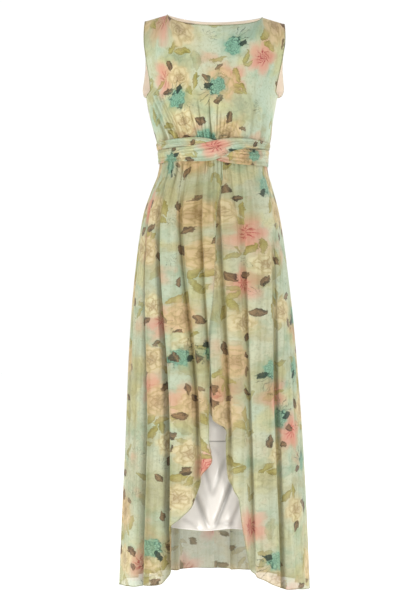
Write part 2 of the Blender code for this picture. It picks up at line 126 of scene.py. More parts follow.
# %% [markdown]
# ## Cloth as a surface of two numbers
#
# Every piece here is a grid of points: one number runs across the cloth and the other down it. The sizes that the
# grid follows are kept in small tables, and a smooth curve is read through each column of a table. A cubic curve whose
# slope at each row is the harmonic mean of its two neighbours' never swings past the rows, so a waist stays a waist.

# %% Tables and curves
def table(names, *rows):
    """Named columns, each an array with one number for each row."""
    return dict(zip(names.split(), np.array(rows, float).T))


def read(columns, key, value, at):
    """A smooth curve through a table's rows, read at the values in at: a cubic on each stretch, level at the rows
    where the slope changes sign."""
    x, y = columns[key], columns[value]
    if x[0] > x[-1]:
        x, y = x[::-1], y[::-1]
    at = np.clip(at, x[0], x[-1])
    step = np.diff(x)
    slope = np.diff(y) / step
    inner = np.where(slope[:-1] * slope[1:] > 0, 2 * slope[:-1] * slope[1:] / (slope[:-1] + slope[1:] + 1e-30), 0)
    tangent = np.concatenate([slope[:1], inner, slope[-1:]])
    i = np.clip(np.searchsorted(x, at, side="right") - 1, 0, len(step) - 1)
    t = (at - x[i]) / step[i]
    rise = t * t * (3 - 2 * t)
    ease_in = t * (1 - t) ** 2 * step[i] * tangent[i]
    ease_out = t * t * (1 - t) * step[i] * tangent[i + 1]
    return y[i] * (1 - rise) + y[i + 1] * rise + ease_in - ease_out


def ease(share):
    """0 to 1 with level ends: 3 s^2 - 2 s^3."""
    share = np.clip(share, 0, 1)
    return share * share * (3 - 2 * share)


def bell(aside, width):
    """The section of a soft fold: exp(-(aside / width)^2)."""
    return np.exp(-((aside / width) ** 2))


WAIST = -0.368
HALF_GAP = 0.00015
FIGURE = table(
    "height half_width front back",
    (-0.180, 0.1740, 0.1148, 0.112),
    (-0.206, 0.1645, 0.1205, 0.111),
    (-0.235, 0.1590, 0.1235, 0.110),
    (-0.260, 0.1540, 0.1205, 0.107),
    (-0.290, 0.1480, 0.113, 0.101),
    (-0.315, 0.1425, 0.106, 0.096),
    (-0.345, 0.1370, 0.099, 0.091),
    (-0.370, 0.1350, 0.097, 0.089),
    (-0.400, 0.1390, 0.101, 0.094),
    (-0.425, 0.1475, 0.108, 0.104),
    (-0.450, 0.1560, 0.115, 0.115),
    (-0.500, 0.1705, 0.128, 0.133),
    (-0.600, 0.1860, 0.144, 0.155),
    (-0.800, 0.2065, 0.165, 0.184),
    (-1.100, 0.2230, 0.188, 0.212),
    (-1.435, 0.2370, 0.211, 0.238),
)
SWAY = table(
    "height aside",
    (-1.4350, 0.0019),
    (-1.1130, 0.0004),
    (-0.8130, -0.0042),
    (-0.6050, -0.0066),
    (-0.5100, -0.0067),
    (-0.4500, -0.0046),
    (-0.4100, -0.0024),
    (-0.3500, -0.0015),
    (-0.3150, -0.0021),
    (-0.2550, -0.0056),
    (-0.2150, -0.0060),
    (-0.1900, -0.0020),
    (-0.1100, 0.0005),
    (0.0000, 0.0020),
)
print("waist", round(2 * float(read(FIGURE, "height", "half_width", WAIST)), 3), "m across")

# %% [markdown]
# A filled dress is round but not circular: a level section through it is half an ellipse in front and half a deeper or
# flatter one behind. Cloth is placed on these sections and moved in or out along their normals. The alternative, a
# sculpted body with cloth shrunk on to it, would need a second model that nobody sees.

# %% Level sections of the figure
def section(angle, height, out=0.0):
    """A point of the level section at that height, moved outwards: (w sin a, -d cos a) + out * normal, where w is
    the half width and d the depth in front or behind."""
    a = np.radians(angle)
    width = read(FIGURE, "height", "half_width", height)
    front = read(FIGURE, "height", "front", height)
    back = read(FIGURE, "height", "back", height)
    depth = np.where(np.cos(a) > 0, front, back)
    normal = np.stack([np.sin(a) * depth, -np.cos(a) * width], -1)
    normal /= np.linalg.norm(normal, axis=-1, keepdims=True)
    x = width * np.sin(a) + out * normal[..., 0]
    y = -depth * np.cos(a) + out * normal[..., 1]
    return np.stack([x, y, np.broadcast_to(height, x.shape)], -1)


def swayed(points):
    """The same points, moved aside by the little that the filled dress hangs off its middle."""
    moved = np.array(points, float)
    moved[..., 0] += read(SWAY, "height", "aside", moved[..., 2])
    return moved


def turned(angle):
    """The same angle between -180 and 180."""
    return (np.asarray(angle, float) + 180.0) % 360.0 - 180.0


def outward(points):
    """Unit normals of a grid, as the cross product of its two directions, facing away from the middle."""
    normal = np.cross(np.gradient(points, axis=1), np.gradient(points, axis=0))
    normal /= np.linalg.norm(normal, axis=-1, keepdims=True) + 1e-12
    return normal if np.sum(normal[..., :2] * points[..., :2]) > 0 else -normal


# %% [markdown]
# ## From grids to meshes
#
# A piece may hold several grids: a bodice has an outer and an inner face. Each grid comes with its place on the flat
# cloth, in metres, which goes into a UV map named *cloth*. The print and the weave are drawn in that map, so they
# follow the cloth into its folds. A second number, a point attribute, is mostly how deep in a fold or crease a point
# lies, and the finishes darken the colour by it. This is partly because sheer cloth looks deeper in colour where it
# lies over itself, and partly painted shade. On the opaque bodice, the sash and the lining it is only painted shade.

# %% Put grids into a mesh
def quads(rows, columns, start=0, closed=False):
    """Corner numbers of a grid's faces, row by row. closed joins the last column to the first."""
    index = start + np.arange(rows * columns).reshape(rows, columns)
    if closed:
        index = np.concatenate([index, index[:, :1]], 1)
    return np.stack([g.ravel() for g in (index[:-1, :-1], index[:-1, 1:], index[1:, 1:], index[1:, :-1])], 1)


def face_outwards(mesh, fill=False):
    """Turns a closed mesh's faces outwards. fill first closes its open ends."""
    whole = bmesh.new()
    whole.from_mesh(mesh)
    if fill:
        bmesh.ops.holes_fill(whole, edges=[e for e in whole.edges if e.is_boundary], sides=0)
    bmesh.ops.recalc_face_normals(whole, faces=whole.faces[:])
    whole.to_mesh(mesh)
    whole.free()


def hung(name, mesh, finishes):
    """Hangs a mesh in the scene as a smooth piece of the dress."""
    mesh.shade_smooth()
    for finish in finishes:
        mesh.materials.append(finish)
    piece = bpy.data.objects.new(name, mesh)
    scene.collection.objects.link(piece)
    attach(piece, "root")
    return piece


def piece_of(name, finishes, grids, sealed=False):
    """One object made of grids. A grid has points, cloth, and may have doubled, finish, closed and inwards."""
    points, cloth, doubled_and_shade, faces, finish_numbers = [], [], [], [], []
    count = 0
    for grid in grids:
        rows, columns = grid.points.shape[:2]
        corners = quads(rows, columns, count, getattr(grid, "closed", False))
        if not sealed:
            corner = grid.points[:-1, :-1]
            normal = np.cross(grid.points[1:, :-1] - corner, grid.points[:-1, 1:] - corner)
            away = np.sum(normal[..., :2] * corner[..., :2]) < 0
            if away == getattr(grid, "inwards", False):
                corners = corners[:, ::-1]
        points.append(grid.points.reshape(-1, 3))
        cloth.append(grid.cloth.reshape(-1, 2))
        doubled_and_shade.append(np.broadcast_to(getattr(grid, "doubled_and_shade", 0.0), (rows, columns)).ravel())
        faces.append(corners)
        finish_numbers.append(np.full(len(corners), getattr(grid, "finish", 0)))
        count += rows * columns
    points, cloth, doubled_and_shade, faces = (np.concatenate(a) for a in (points, cloth, doubled_and_shade, faces))
    mesh = bpy.data.meshes.new(name)
    mesh.from_pydata(points, [], faces.tolist())
    mesh.polygons.foreach_set("material_index", np.concatenate(finish_numbers).astype(np.int32))
    mesh.uv_layers.new(name="cloth").uv.foreach_set("vector", cloth[faces.ravel()].astype(np.float32).ravel())
    mesh.attributes.new("doubled_and_shade", "FLOAT", "POINT").data.foreach_set("value", doubled_and_shade.astype(np.float32))
    if sealed:
        face_outwards(mesh)
    return hung(name, mesh, finishes)


def area_of(points):
    """The area of a grid, as half the cross products of each face's two diagonals."""
    across = points[1:, 1:] - points[:-1, :-1]
    down = points[1:, :-1] - points[:-1, 1:]
    return float(np.linalg.norm(np.cross(across, down), axis=-1).sum() / 2)


# %% [markdown]
# ## Shader maths in plain sums
#
# A material is a network of nodes. Written out node by node it is long and hard to follow, so one small class stands
# for a socket and adds a Math node whenever a sum is written with it. Colours are mixed and vectors are moved with
# their own nodes, because a Math node would turn a colour grey.

# %% A class for sockets and one for finishes
def plug(value, socket):
    """Links a socket's value, or sets it."""
    if isinstance(value, Dye):
        socket.id_data.links.new(value.socket, socket)
    elif socket.type == "RGBA" and len(value) == 3:
        socket.default_value = (*value, 1.0)
    else:
        socket.default_value = value


class Dye:
    """A shader socket that can be added, multiplied and so on."""

    def __init__(self, socket):
        self.socket = socket

    def math(self, operation, *values):
        node = self.socket.id_data.nodes.new("ShaderNodeMath")
        node.operation = operation
        for value, socket in zip(values, node.inputs):
            plug(value, socket)
        return Dye(node.outputs[0])

    def __add__(self, other):
        return self.math("ADD", self, other)

    def __sub__(self, other):
        return self.math("SUBTRACT", self, other)

    def __rsub__(self, other):
        return self.math("SUBTRACT", other, self)

    def __mul__(self, other):
        return self.math("MULTIPLY", self, other)

    def __truediv__(self, other):
        return self.math("DIVIDE", self, other)

    def __abs__(self):
        return self.math("ABSOLUTE", self)

    def sine(self):
        return self.math("SINE", self)

    __radd__ = __add__
    __rmul__ = __mul__


class Finish:
    """A material that is being mixed: its nodes, and the shader they feed."""

    def __init__(self, name, **constants):
        self.material = bpy.data.materials.new(name)
        self.material.use_nodes = True
        self.tree = self.material.node_tree
        self.shader = self.tree.nodes["Principled BSDF"]
        for key, value in constants.items():
            self.shader.inputs[key.replace("_", " ")].default_value = value

    def node(self, kind, settings=None, **sockets):
        """Adds a node: its settings first, then the value or link of each socket, named by its identifier."""
        node = self.tree.nodes.new(kind)
        for key, value in (settings or {}).items():
            setattr(node, key, value)
        for key, value in sockets.items():
            plug(value, next(s for s in node.inputs if s.identifier in (key, key.replace("_", " "))))
        return {s.identifier: Dye(s) for s in node.outputs}

    def mix(self, share, under, over):
        """under where share is 0, over where it is 1."""
        settings = {"data_type": "RGBA"}
        return self.node("ShaderNodeMix", settings, Factor_Float=share, A_Color=under, B_Color=over)["Result_Color"]

    def move(self, operation, vector, other):
        """A Vector Math node that gives a vector."""
        return self.node("ShaderNodeVectorMath", {"operation": operation}, Vector=vector, Vector_001=other)["Vector"]

    def soft(self, value, start, end):
        """0 at start, 1 at end, and an S between them."""
        settings = {"interpolation_type": "SMOOTHSTEP"}
        return self.node("ShaderNodeMapRange", settings, Value=value, From_Min=start, From_Max=end)["Result"]

    def noise(self, vector, per_metre, detail=2.0, rough=0.5, flat=True):
        """Cloudy noise of so many cells to a metre."""
        settings = {"noise_dimensions": "2D" if flat else "3D"}
        sockets = {"Vector": vector, "Scale": per_metre, "Detail": detail, "Roughness": rough}
        return self.node("ShaderNodeTexNoise", settings, **sockets)

    def give(self, **values):
        """Links worked-out values to the shader and gives back the material."""
        for key, value in values.items():
            plug(value, self.shader.inputs[key.replace("_", " ")])
        return self.material


def ink(red, green, blue):
    """A colour as a screen shows it, 0 to 255, as the linear light that shaders work in."""
    shown = np.array([red, green, blue]) / 255.0
    return tuple(float(v) for v in np.where(shown <= 0.04045, shown / 12.92, ((shown + 0.055) / 1.055) ** 2.4))


print("mid grey of 128 on screen is", round(ink(128, 128, 128)[0], 3), "of white light")

# %% [markdown]
# ## The print
#
# The chiffon is printed with ordinary garden flowers in watercolour: cream and peach roses with brown and olive
# leaves, soft pink blooms with dark red hearts, and ruffled teal flowers with thin dark sprigs, all on a pale
# green ground that drifts to aqua and yellow. No picture is used. The cloth is divided into an uneven net of cells, a
# Voronoi pattern, and each cell gives its motif a middle, a turn and a chance of its own. A motif is then a rule on
# the distance and direction from that middle, such as "inside a rim with five waves". The layout is this notebook's
# own.

# %% Strew motifs over the cloth
TURN = 2 * np.pi


def strewn(finish, cloth, cell, seed, jitter=0.6):
    """One motif's own frame in each cell of a net: x and y in metres from its middle, turned at random, the distance
    and the direction, and two chances from 0 to 1."""
    moved = finish.move("ADD", cloth, (seed * 0.731, seed * 1.137, 0.0))
    sockets = {"Vector": moved, "Scale": 1 / cell, "Randomness": jitter}
    net = finish.node("ShaderNodeTexVoronoi", {"voronoi_dimensions": "2D"}, **sockets)
    chance = finish.node("ShaderNodeSeparateColor", Color=net["Color"])
    away = finish.move("SUBTRACT", moved, net["Position"])
    return framed(finish, away, chance["Red"] * TURN, chance["Green"], chance["Blue"])


def framed(finish, vector, turn, chance, kind):
    """A motif's frame from a vector that starts at its middle, and the angle it is turned by."""
    vector = finish.node("ShaderNodeVectorRotate", {"rotation_type": "Z_AXIS"}, Vector=vector, Angle=turn)["Vector"]
    spot = finish.node("ShaderNodeSeparateXYZ", Vector=vector)
    x, y = spot["X"], spot["Y"]
    far = finish.node("ShaderNodeVectorMath", {"operation": "LENGTH"}, Vector=vector)["Value"]
    round_it = y.math("ARCTAN2", y, x)
    return SimpleNamespace(vector=vector, x=x, y=y, far=far, round=round_it, chance=chance, kind=kind)


def beside(finish, frame_, place, turn):
    """The frame of something that belongs to a motif: place in metres in the motif's frame, then a turn."""
    return framed(finish, finish.move("SUBTRACT", frame_.vector, (*place, 0.0)), turn, frame_.chance, frame_.kind)


def some(frame_, share):
    """1 in that share of the cells, 0 in the rest."""
    return frame_.chance.math("LESS_THAN", frame_.chance, share)


# %% [markdown]
# Watercolour has soft rims and uneven washes, so no motif has a hard outline: its cover is a smooth step over a few
# millimetres. Petals are cells again, this time of a net drawn in polar coordinates, which makes them arcs round the
# heart of the flower. A picture of a rose would look the same each time; a rule gives each one its own waves.

# %% Motifs as rules on distance and direction
def leaf(finish, colour, frame_, length, width, shades, there, strength=0.9):
    """A pointed leaf along x that bends a little: |y + 6 x^2| / width + (x / length)^2 < 1, with a midrib and side
    veins as fine sine lines."""
    x, y = frame_.x, frame_.y
    aside = abs(y + x * x * 6.0)
    inside = aside / width + (x / length) * (x / length)
    cover = finish.soft(inside, 1.0, 0.86) * there
    veins = finish.soft((x * 900.0 - aside * 1300.0).sine(), 0.1, 0.9)
    rim = finish.soft(inside, 0.35, 0.95)
    tone = finish.soft((x * 160.0 + frame_.y * 230.0 + frame_.kind * 9.0).sine(), -0.8, 0.8)
    green = finish.mix(frame_.kind * 0.3 + tone * 0.5, shades[0], shades[1])
    green = finish.mix(veins * 0.5 + rim * 0.4, green, shades[2])
    green = finish.mix(finish.soft(aside / width, 0.24, 0.04) * 0.6, green, shades[1])
    return finish.mix(cover * strength, colour, green)


def petal_net(finish, frame_, around, outward_):
    """Petals as the cells of a net in polar coordinates, so each is an arc round the heart. Gives how near a point is
    to a petal's edge, as a thin line, and how far it is from that edge."""
    polar = finish.node("ShaderNodeCombineXYZ", X=frame_.round * around + frame_.kind * 37.0, Y=frame_.far * outward_)
    settings = {"voronoi_dimensions": "2D", "feature": "DISTANCE_TO_EDGE"}
    middle = finish.node("ShaderNodeTexVoronoi", settings, Vector=polar["Vector"], Scale=1.0)["Distance"]
    return finish.soft(middle, 0.13, 0.01), middle


def rose(finish, colour, frame_, size, shades, there):
    """A cupped rose: a rim with five waves round a net of petals that deepen in colour towards the heart. q is the
    distance over the rim's, and a pale halo bleeds past it as wet paint does."""
    angle, far = frame_.round, frame_.far
    rim = (angle * 5.0 + frame_.kind * 9.0).sine() * 0.08 + (angle * 9.0).sine() * 0.04 + 1.0
    q = far / (rim * size * (frame_.kind * 0.35 + 0.82))
    cover = finish.soft(q, 1.02, 0.70) * there
    edge, middle = petal_net(finish, frame_, 0.95, 3.1 / size)
    petals = finish.mix(frame_.kind, shades[0], shades[1])
    petals = finish.mix(finish.soft(middle, 0.34, 0.02) * 0.6, petals, shades[2])
    petals = finish.mix(edge * finish.soft(q, 0.95, 0.15) * 0.5, petals, shades[3])
    petals = finish.mix(finish.soft(q, 0.55, 0.05) * 0.5, petals, shades[3])
    halo = finish.soft(q, 1.6, 0.6) * there
    colour = finish.mix(halo * 0.5, colour, petals)
    return finish.mix(cover * 0.88, colour, petals)


def bloom(finish, colour, frame_, size, shades, there, cloud):
    """A loose pink bloom: the wash fades out to a rim of five petals, and dark threads run out from the heart."""
    angle, far = frame_.round, frame_.far
    petals = abs((angle * 2.5 + cloud * 1.5).sine()) * 0.34 + 0.66
    q = far / (petals * size)
    wash = finish.soft(q, 1.0, 0.5) * there
    pink = finish.mix(finish.soft(q, 0.1, 0.9), shades[0], shades[1])
    pink = finish.mix(finish.soft((angle * 2.5 + cloud * 1.5).sine(), -0.25, 0.1) * 0.3, pink, shades[1])
    colour = finish.mix(wash * (cloud * 0.5 + 0.55), colour, pink)
    threads = finish.soft((angle * 9.0 + cloud * 14.0 + far * 250.0).sine(), 0.15, 0.7)
    heart = threads * finish.soft(far, size * 0.46, size * 0.16) * there
    return finish.mix(heart * 0.85, colour, shades[2])


def ruffled(finish, colour, frame_, size, shades, there, cloud):
    """A ruffled flower: a rim with seven waves, filled with a close net of small petals inked round their edges."""
    angle, far = frame_.round, frame_.far
    rim = (angle * 7.0 + frame_.kind * 12.0).sine() * 0.1 + 0.95
    q = far / (rim * size)
    cover = finish.soft(q, 1.0, 0.72) * there
    edge, middle = petal_net(finish, frame_, 1.45, 4.2 / size)
    blue = finish.mix(cloud, shades[0], shades[1])
    blue = finish.mix(finish.soft(middle, 0.25, 0.0) * 0.5, blue, shades[2])
    blue = finish.mix(edge * 0.65, blue, shades[2])
    colour = finish.mix(finish.soft(q, 1.7, 0.7) * there * 0.35, colour, shades[0])
    colour = finish.mix(cover * 0.85, colour, blue)
    deep = cover * finish.soft(frame_.x, size * 0.2, size * 0.8) * finish.soft(middle, 0.3, 0.1)
    return finish.mix(deep * 0.8, colour, shades[3])


def sprig(finish, colour, frame_, reach, shade, there, strength=0.7):
    """A fan of thin stems: lines where sin(13 angle + 60 distance) is near 1, within a sector, from about 4 mm out to
    the reach."""
    angle, far = frame_.round, frame_.far
    lines = finish.soft((angle * 13.0 + far * 60.0).sine(), 0.86, 0.97)
    sector = finish.soft(abs(angle), 1.15, 0.95)
    length = finish.soft(far, 0.003, 0.006) * finish.soft(far, reach, reach * 0.8)
    return finish.mix(lines * sector * length * there * strength, colour, shade)


# %% [markdown]
# Each leaf, rose and bloom is laid over the colours below it, the way a printer lays one screen over another. The
# edges are loosened first: the place on the cloth is shifted a few millimetres by slow noise, so no rim is a true
# curve.

# %% Lay the motifs over a washed ground
def floral(finish, cloth):
    """The whole print at a place on the cloth."""
    loose = finish.noise(cloth, 55.0, detail=6.0, rough=0.68)["Color"]
    shift = finish.move("MULTIPLY", finish.move("SUBTRACT", loose, (0.5, 0.5, 0.5)), (0.020, 0.020, 0.0))
    inked = finish.move("ADD", cloth, shift)
    cloud = finish.noise(inked, 14.0, detail=4.0, rough=0.6)["Fac"]
    drift = finish.noise(finish.move("ADD", cloth, (3.7, 1.9, 0.0)), 6.5, detail=2.0)["Fac"]
    bloomed = finish.noise(finish.move("ADD", cloth, (8.1, 5.3, 0.0)), 9.0, detail=3.0)["Fac"]
    strokes = finish.noise(finish.move("MULTIPLY", inked, (1.0, 1.9, 0.0)), 10.0, detail=3.0, rough=0.5)["Fac"]
    grain = finish.noise(inked, 160.0, detail=3.0, rough=0.65)["Fac"]

    ground = finish.mix(finish.soft(drift, 0.36, 0.62), ink(169, 179, 158), ink(182, 183, 158))
    for value, start, end, share, wash in (
        (cloud, 0.53, 0.68, 0.7, (152, 169, 145)),
        (bloomed, 0.54, 0.68, 0.7, (186, 178, 130)),
        (bloomed, 0.40, 0.26, 0.65, (196, 154, 126)),
        (strokes, 0.54, 0.74, 0.42, (112, 148, 122)),
        (strokes, 0.44, 0.26, 0.42, (154, 142, 96)),
        (grain, 0.48, 0.72, 0.32, (126, 124, 88)),
    ):
        ground = finish.mix(finish.soft(value, start, end) * share, ground, ink(*wash))

    brown = (ink(54, 35, 22), ink(128, 98, 68), ink(32, 21, 15))
    olive = (ink(134, 120, 46), ink(160, 150, 78), ink(92, 82, 32))
    cream = (ink(204, 194, 156), ink(198, 164, 126), ink(170, 150, 98), ink(124, 92, 56))
    faded = (ink(180, 174, 130), ink(154, 150, 98), ink(148, 138, 88), ink(104, 96, 50))
    pinks = (ink(198, 118, 104), ink(200, 150, 128), ink(142, 34, 46))
    teal = (ink(92, 142, 120), ink(134, 172, 148), ink(42, 92, 78), ink(14, 42, 38))
    dark = ink(34, 42, 34)

    pink = strewn(finish, inked, 0.176, 3.0, jitter=0.75)
    colour = bloom(finish, ground, pink, 0.062, pinks, some(pink, 0.84), cloud)

    faint = strewn(finish, inked, 0.135, 17.0, jitter=0.7)
    there = some(faint, 0.7) * 0.4
    colour = rose(finish, colour, faint, 0.052, faded, there)
    colour = leaf(finish, colour, beside(finish, faint, (0.045, 0.020), 0.8), 0.030, 0.013, olive, there)

    stem = strewn(finish, inked, 0.082, 5.0, jitter=0.8)
    there = some(stem, 0.50)
    colour = leaf(finish, colour, stem, 0.023, 0.0072, olive, there, 0.7)
    colour = leaf(finish, colour, beside(finish, stem, (0.016, 0.010), 0.9), 0.017, 0.0058, olive, there, 0.65)

    flower = strewn(finish, inked, 0.122, 11.0, jitter=0.65)
    there = some(flower, 0.78)
    colour = leaf(finish, colour, beside(finish, flower, (-0.036, 0.030), 2.2), 0.024, 0.0100, olive, there, 0.9)
    colour = leaf(finish, colour, beside(finish, flower, (-0.014, 0.044), 1.4), 0.021, 0.0085, olive, there, 0.85)
    colour = rose(finish, colour, flower, 0.0385, cream, there)
    colour = leaf(finish, colour, beside(finish, flower, (0.040, 0.016), 0.4), 0.0165, 0.0100, brown, there)
    colour = leaf(finish, colour, beside(finish, flower, (0.004, -0.041), -1.3), 0.0160, 0.0090, brown, there)
    twice = there * finish.soft(flower.kind, 0.45, 0.5)
    colour = leaf(finish, colour, beside(finish, flower, (-0.034, -0.024), 3.4), 0.0120, 0.0070, brown, twice, 0.8)

    frill = strewn(finish, inked, 0.118, 23.0, jitter=0.7)
    there = some(frill, 0.42)
    colour = sprig(finish, colour, beside(finish, frill, (0.014, 0.004), 0.3), 0.040, dark, there)
    colour = ruffled(finish, colour, frill, 0.0265, teal, there, cloud)
    night = (dark, teal[3], dark)
    colour = leaf(finish, colour, beside(finish, frill, (0.018, -0.016), 0.7), 0.0140, 0.0080, night, there)

    single = strewn(finish, inked, 0.096, 31.0, jitter=0.85)
    colour = leaf(finish, colour, single, 0.0150, 0.0084, brown, some(single, 0.22), 0.9)
    thin = strewn(finish, inked, 0.086, 41.0, jitter=0.85)
    colour = sprig(finish, colour, thin, 0.026, dark, some(thin, 0.40), 0.6)
    return colour, grain


# %% [markdown]
# ## Chiffon, satin and thread
#
# Chiffon is woven from hard twisted yarns, so it has a fine dry grain and almost no shine. The skirt is one sheer
# layer: what lies behind it shows through a little, and less where it is folded over itself, so its alpha rises
# with how deep in a fold it lies. The same number darkens its colour in folds and creases, partly as cloth over cloth
# and partly as painted shade, and fine upright crinkles get painted shade as well. The bodice and the sash have cloth
# behind them, so they are opaque. Their copy of the print is darker, as painted shade, and the back panels' copy is
# lighter, as painted light. The lining's satin is smooth and white with a soft streak of light, and it has painted
# shade in its creases. Each finish has its own bump: two fine sets of threads, and slow crinkles.

# %% Weave, crinkle and print together
YARNS = 5200.0
WEAVE_HEIGHT = 0.00003


def chiffon(name, sheer, tone_and_shade=(0.94, 0.97, 0.935), crinkle_shade=0.42, deeper=0.0, painted_light=0.0):
    """Printed chiffon. sheer is how much of what lies behind shows through. tone_and_shade is the cloth's own tone
    under the inks, and on the opaque copy it is also a darkening that is painted shade. crinkle_shade is how strongly
    painted shade shows along the fine upright crinkles, and deeper darkens a rolled edge. painted_light lightens and
    warms the back panels as painted light, for their inside, which shows in the parting in shade."""
    finish = Finish(name, Specular_IOR_Level=0.2, Sheen_Weight=0.1, Sheen_Roughness=0.5)
    cloth = finish.node("ShaderNodeUVMap", {"uv_map": "cloth"})["UV"]
    doubled_and_shade = finish.node("ShaderNodeAttribute", {"attribute_name": "doubled_and_shade"})["Fac"]
    colour, grain = floral(finish, cloth)
    pale = finish.soft(finish.node("ShaderNodeSeparateColor", Color=colour)["Green"], 0.05, 0.35)
    # Painted shade: fine upright streaks darken the colour where the crinkle noise is high, and the same noise dents
    # the bump
    along = finish.noise(finish.move("MULTIPLY", cloth, (1.0, 0.045, 0.0)), 95.0, detail=3.0, rough=0.55)["Fac"]
    crinkle_shaded = finish.move("MULTIPLY", colour, (0.70, 0.67, 0.54))
    colour = finish.mix(finish.soft(along, 0.46, 0.66) * crinkle_shade, colour, crinkle_shaded)
    # Painted light: the back panels' print is mixed towards a light warm colour, for their inside that shows in shade
    if painted_light:
        colour = finish.mix(painted_light, colour, ink(218, 205, 164))
    # Darker in folds and creases by the point attribute: partly cloth lying over itself, partly painted shade; less on
    # the back
    colour = finish.mix(doubled_and_shade * (0.85 - 2 * painted_light), colour, finish.move("MULTIPLY", colour, (0.46, 0.41, 0.27)))
    if deeper:
        colour = finish.mix(deeper, colour, ink(96, 92, 62))
    # The cloth's tone, and on the opaque copy also painted shade
    colour = finish.move("MULTIPLY", colour, tone_and_shade)
    spot = finish.node("ShaderNodeSeparateXYZ", Vector=cloth)
    weave = (spot["X"] * YARNS).sine() + (spot["Y"] * YARNS).sine()
    crinkle = finish.noise(finish.move("MULTIPLY", cloth, (1.0, 0.35, 1.0)), 130.0, detail=3.0, rough=0.6)["Fac"]
    relief = weave * WEAVE_HEIGHT + crinkle * 0.0005 - along * 0.0012
    bump = finish.node("ShaderNodeBump", Height=relief, Strength=0.6, Distance=1.0)["Normal"]
    rough = grain * 0.2 + 0.68
    if sheer:
        alpha = 1.0 - pale * sheer * (1.0 - doubled_and_shade * 0.7) - grain * 0.03
        return finish.give(Base_Color=colour, Roughness=rough, Alpha=alpha, Normal=bump)
    return finish.give(Base_Color=colour, Roughness=rough, Normal=bump)


def satin(name, light, shade):
    """Plain satin: a smooth face with long floats down the cloth, and slow clouds in its colour. Where the point
    attribute is high it turns to the shade colour, as painted shade.
    """
    finish = Finish(name, Specular_IOR_Level=0.6, Sheen_Weight=0.15, Coat_Roughness=0.3)
    cloth = finish.node("ShaderNodeUVMap", {"uv_map": "cloth"})["UV"]
    doubled_and_shade = finish.node("ShaderNodeAttribute", {"attribute_name": "doubled_and_shade"})["Fac"]
    cloud = finish.noise(cloth, 18.0, detail=3.0)["Fac"]
    floats = finish.noise(finish.move("MULTIPLY", cloth, (1.0, 0.06, 1.0)), 900.0, detail=2.0)["Fac"]
    colour = finish.mix(cloud * 0.2 + doubled_and_shade * 0.62, light, shade)
    bump = finish.node("ShaderNodeBump", Height=floats * 0.0002 + cloud * 0.0015, Strength=0.5, Distance=1.0)["Normal"]
    return finish.give(Base_Color=colour, Roughness=floats * 0.12 + 0.26, Coat_Weight=cloud * 0.25, Normal=bump)


def thread(name, light, shade):
    """Sewing thread: fine slanting strands."""
    finish = Finish(name, Specular_IOR_Level=0.4, Sheen_Weight=0.2)
    place = finish.node("ShaderNodeTexCoord")["Object"]
    spot = finish.node("ShaderNodeSeparateXYZ", Vector=place)
    strands = (spot["X"] * 6000.0 + spot["Z"] * 9000.0).sine() * 0.5 + 0.5
    bump = finish.node("ShaderNodeBump", Height=strands * 0.0001, Strength=0.5, Distance=1.0)["Normal"]
    return finish.give(Base_Color=finish.mix(strands, light, shade), Roughness=strands * 0.2 + 0.5, Normal=bump)


# The bodice and the sash get a darker copy of the print: painted shade
opaque_chiffon = chiffon("printed_chiffon", 0.0, tone_and_shade=(0.83, 0.875, 0.88), crinkle_shade=0.2)
sheer_chiffon = chiffon("printed_chiffon_sheer", 0.24)
# The back panels get a lighter, warmer copy of the print: painted light
back_chiffon = chiffon("printed_chiffon_back", 0.14, painted_light=0.22)
rolled_chiffon = chiffon("rolled_chiffon_edge", 0.30, deeper=0.25)
white_satin = satin("white_satin", ink(211, 206, 198), ink(114, 110, 104))
# The bodice's inner face: a cream satin, lighter than the lining's as painted light for the shaded armholes
lit_inner_satin = satin("bodice_lining_satin", ink(250, 238, 222), ink(236, 220, 198))
green_thread = thread("green_thread", ink(168, 172, 132), ink(126, 130, 92))
white_thread = thread("white_thread", ink(240, 238, 236), ink(212, 208, 206))
for material in (opaque_chiffon, sheer_chiffon, white_satin):
    print(material.name, "has", len(material.node_tree.nodes), "nodes")

# %% [markdown]
# ## The skirt
#
# Each skirt panel is gathered into the waist and falls in a few deep folds that lean in towards the waist and open out
# to the hem. A fold is a trough with a bell-shaped section: depth * exp(-(angle from its middle / width)^2). Between
# the deep folds come narrow creases and a slow ripple along the hem, all placed one by one, because evenly spaced folds
# look like a lampshade. A fold is steeper on one side, as it is where cloth lies over to one side.

# %% Folds, gathers and creases of the skirt
SKIRT_FOLDS = table(
    "at_waist at_hem width depth top",
    (-158.0, -152.0, 5.0, 0.018, -0.400),
    (-140.0, -133.0, 5.5, 0.020, -0.390),
    (-118.0, -112.0, 6.0, 0.020, -0.440),
    (-68.0, -50.0, 4.6, 0.025, -0.440),
    (-49.0, -30.0, 4.4, 0.026, -0.385),
    (-29.0, -10.0, 4.0, 0.019, -0.385),
    (-9.5, -1.6, 2.4, 0.010, -0.380),
    (5.0, 10.0, 3.6, 0.013, -0.400),
    (26.0, 24.0, 4.4, 0.011, -0.420),
    (62.0, 47.0, 4.6, 0.019, -0.500),
    (114.0, 108.0, 6.0, 0.020, -0.460),
    (136.0, 130.0, 5.5, 0.021, -0.400),
    (155.0, 149.0, 5.0, 0.017, -0.385),
    (172.0, 168.0, 4.2, 0.013, -0.380),
)
WAIST_GATHERS = table(
    "at_waist width depth",
    (-170.0, 2.2, 0.0040),
    (-149.0, 2.4, 0.0038),
    (-38.0, 2.2, 0.0036),
    (-19.0, 2.2, 0.0042),
    (-12.5, 2.0, 0.0040),
    (-3.0, 2.0, 0.0042),
    (11.5, 2.0, 0.0042),
    (18.5, 2.2, 0.0038),
    (145.0, 2.4, 0.0038),
    (163.5, 2.2, 0.0040),
)
# Where the free front edges swing towards each other as they fall
SWINGS = table(
    "angle height width tall swing",
    (-3.4, -1.096, 4.0, 0.026, 2.6),
    (6.0, -1.030, 4.0, 0.020, 1.2),
)
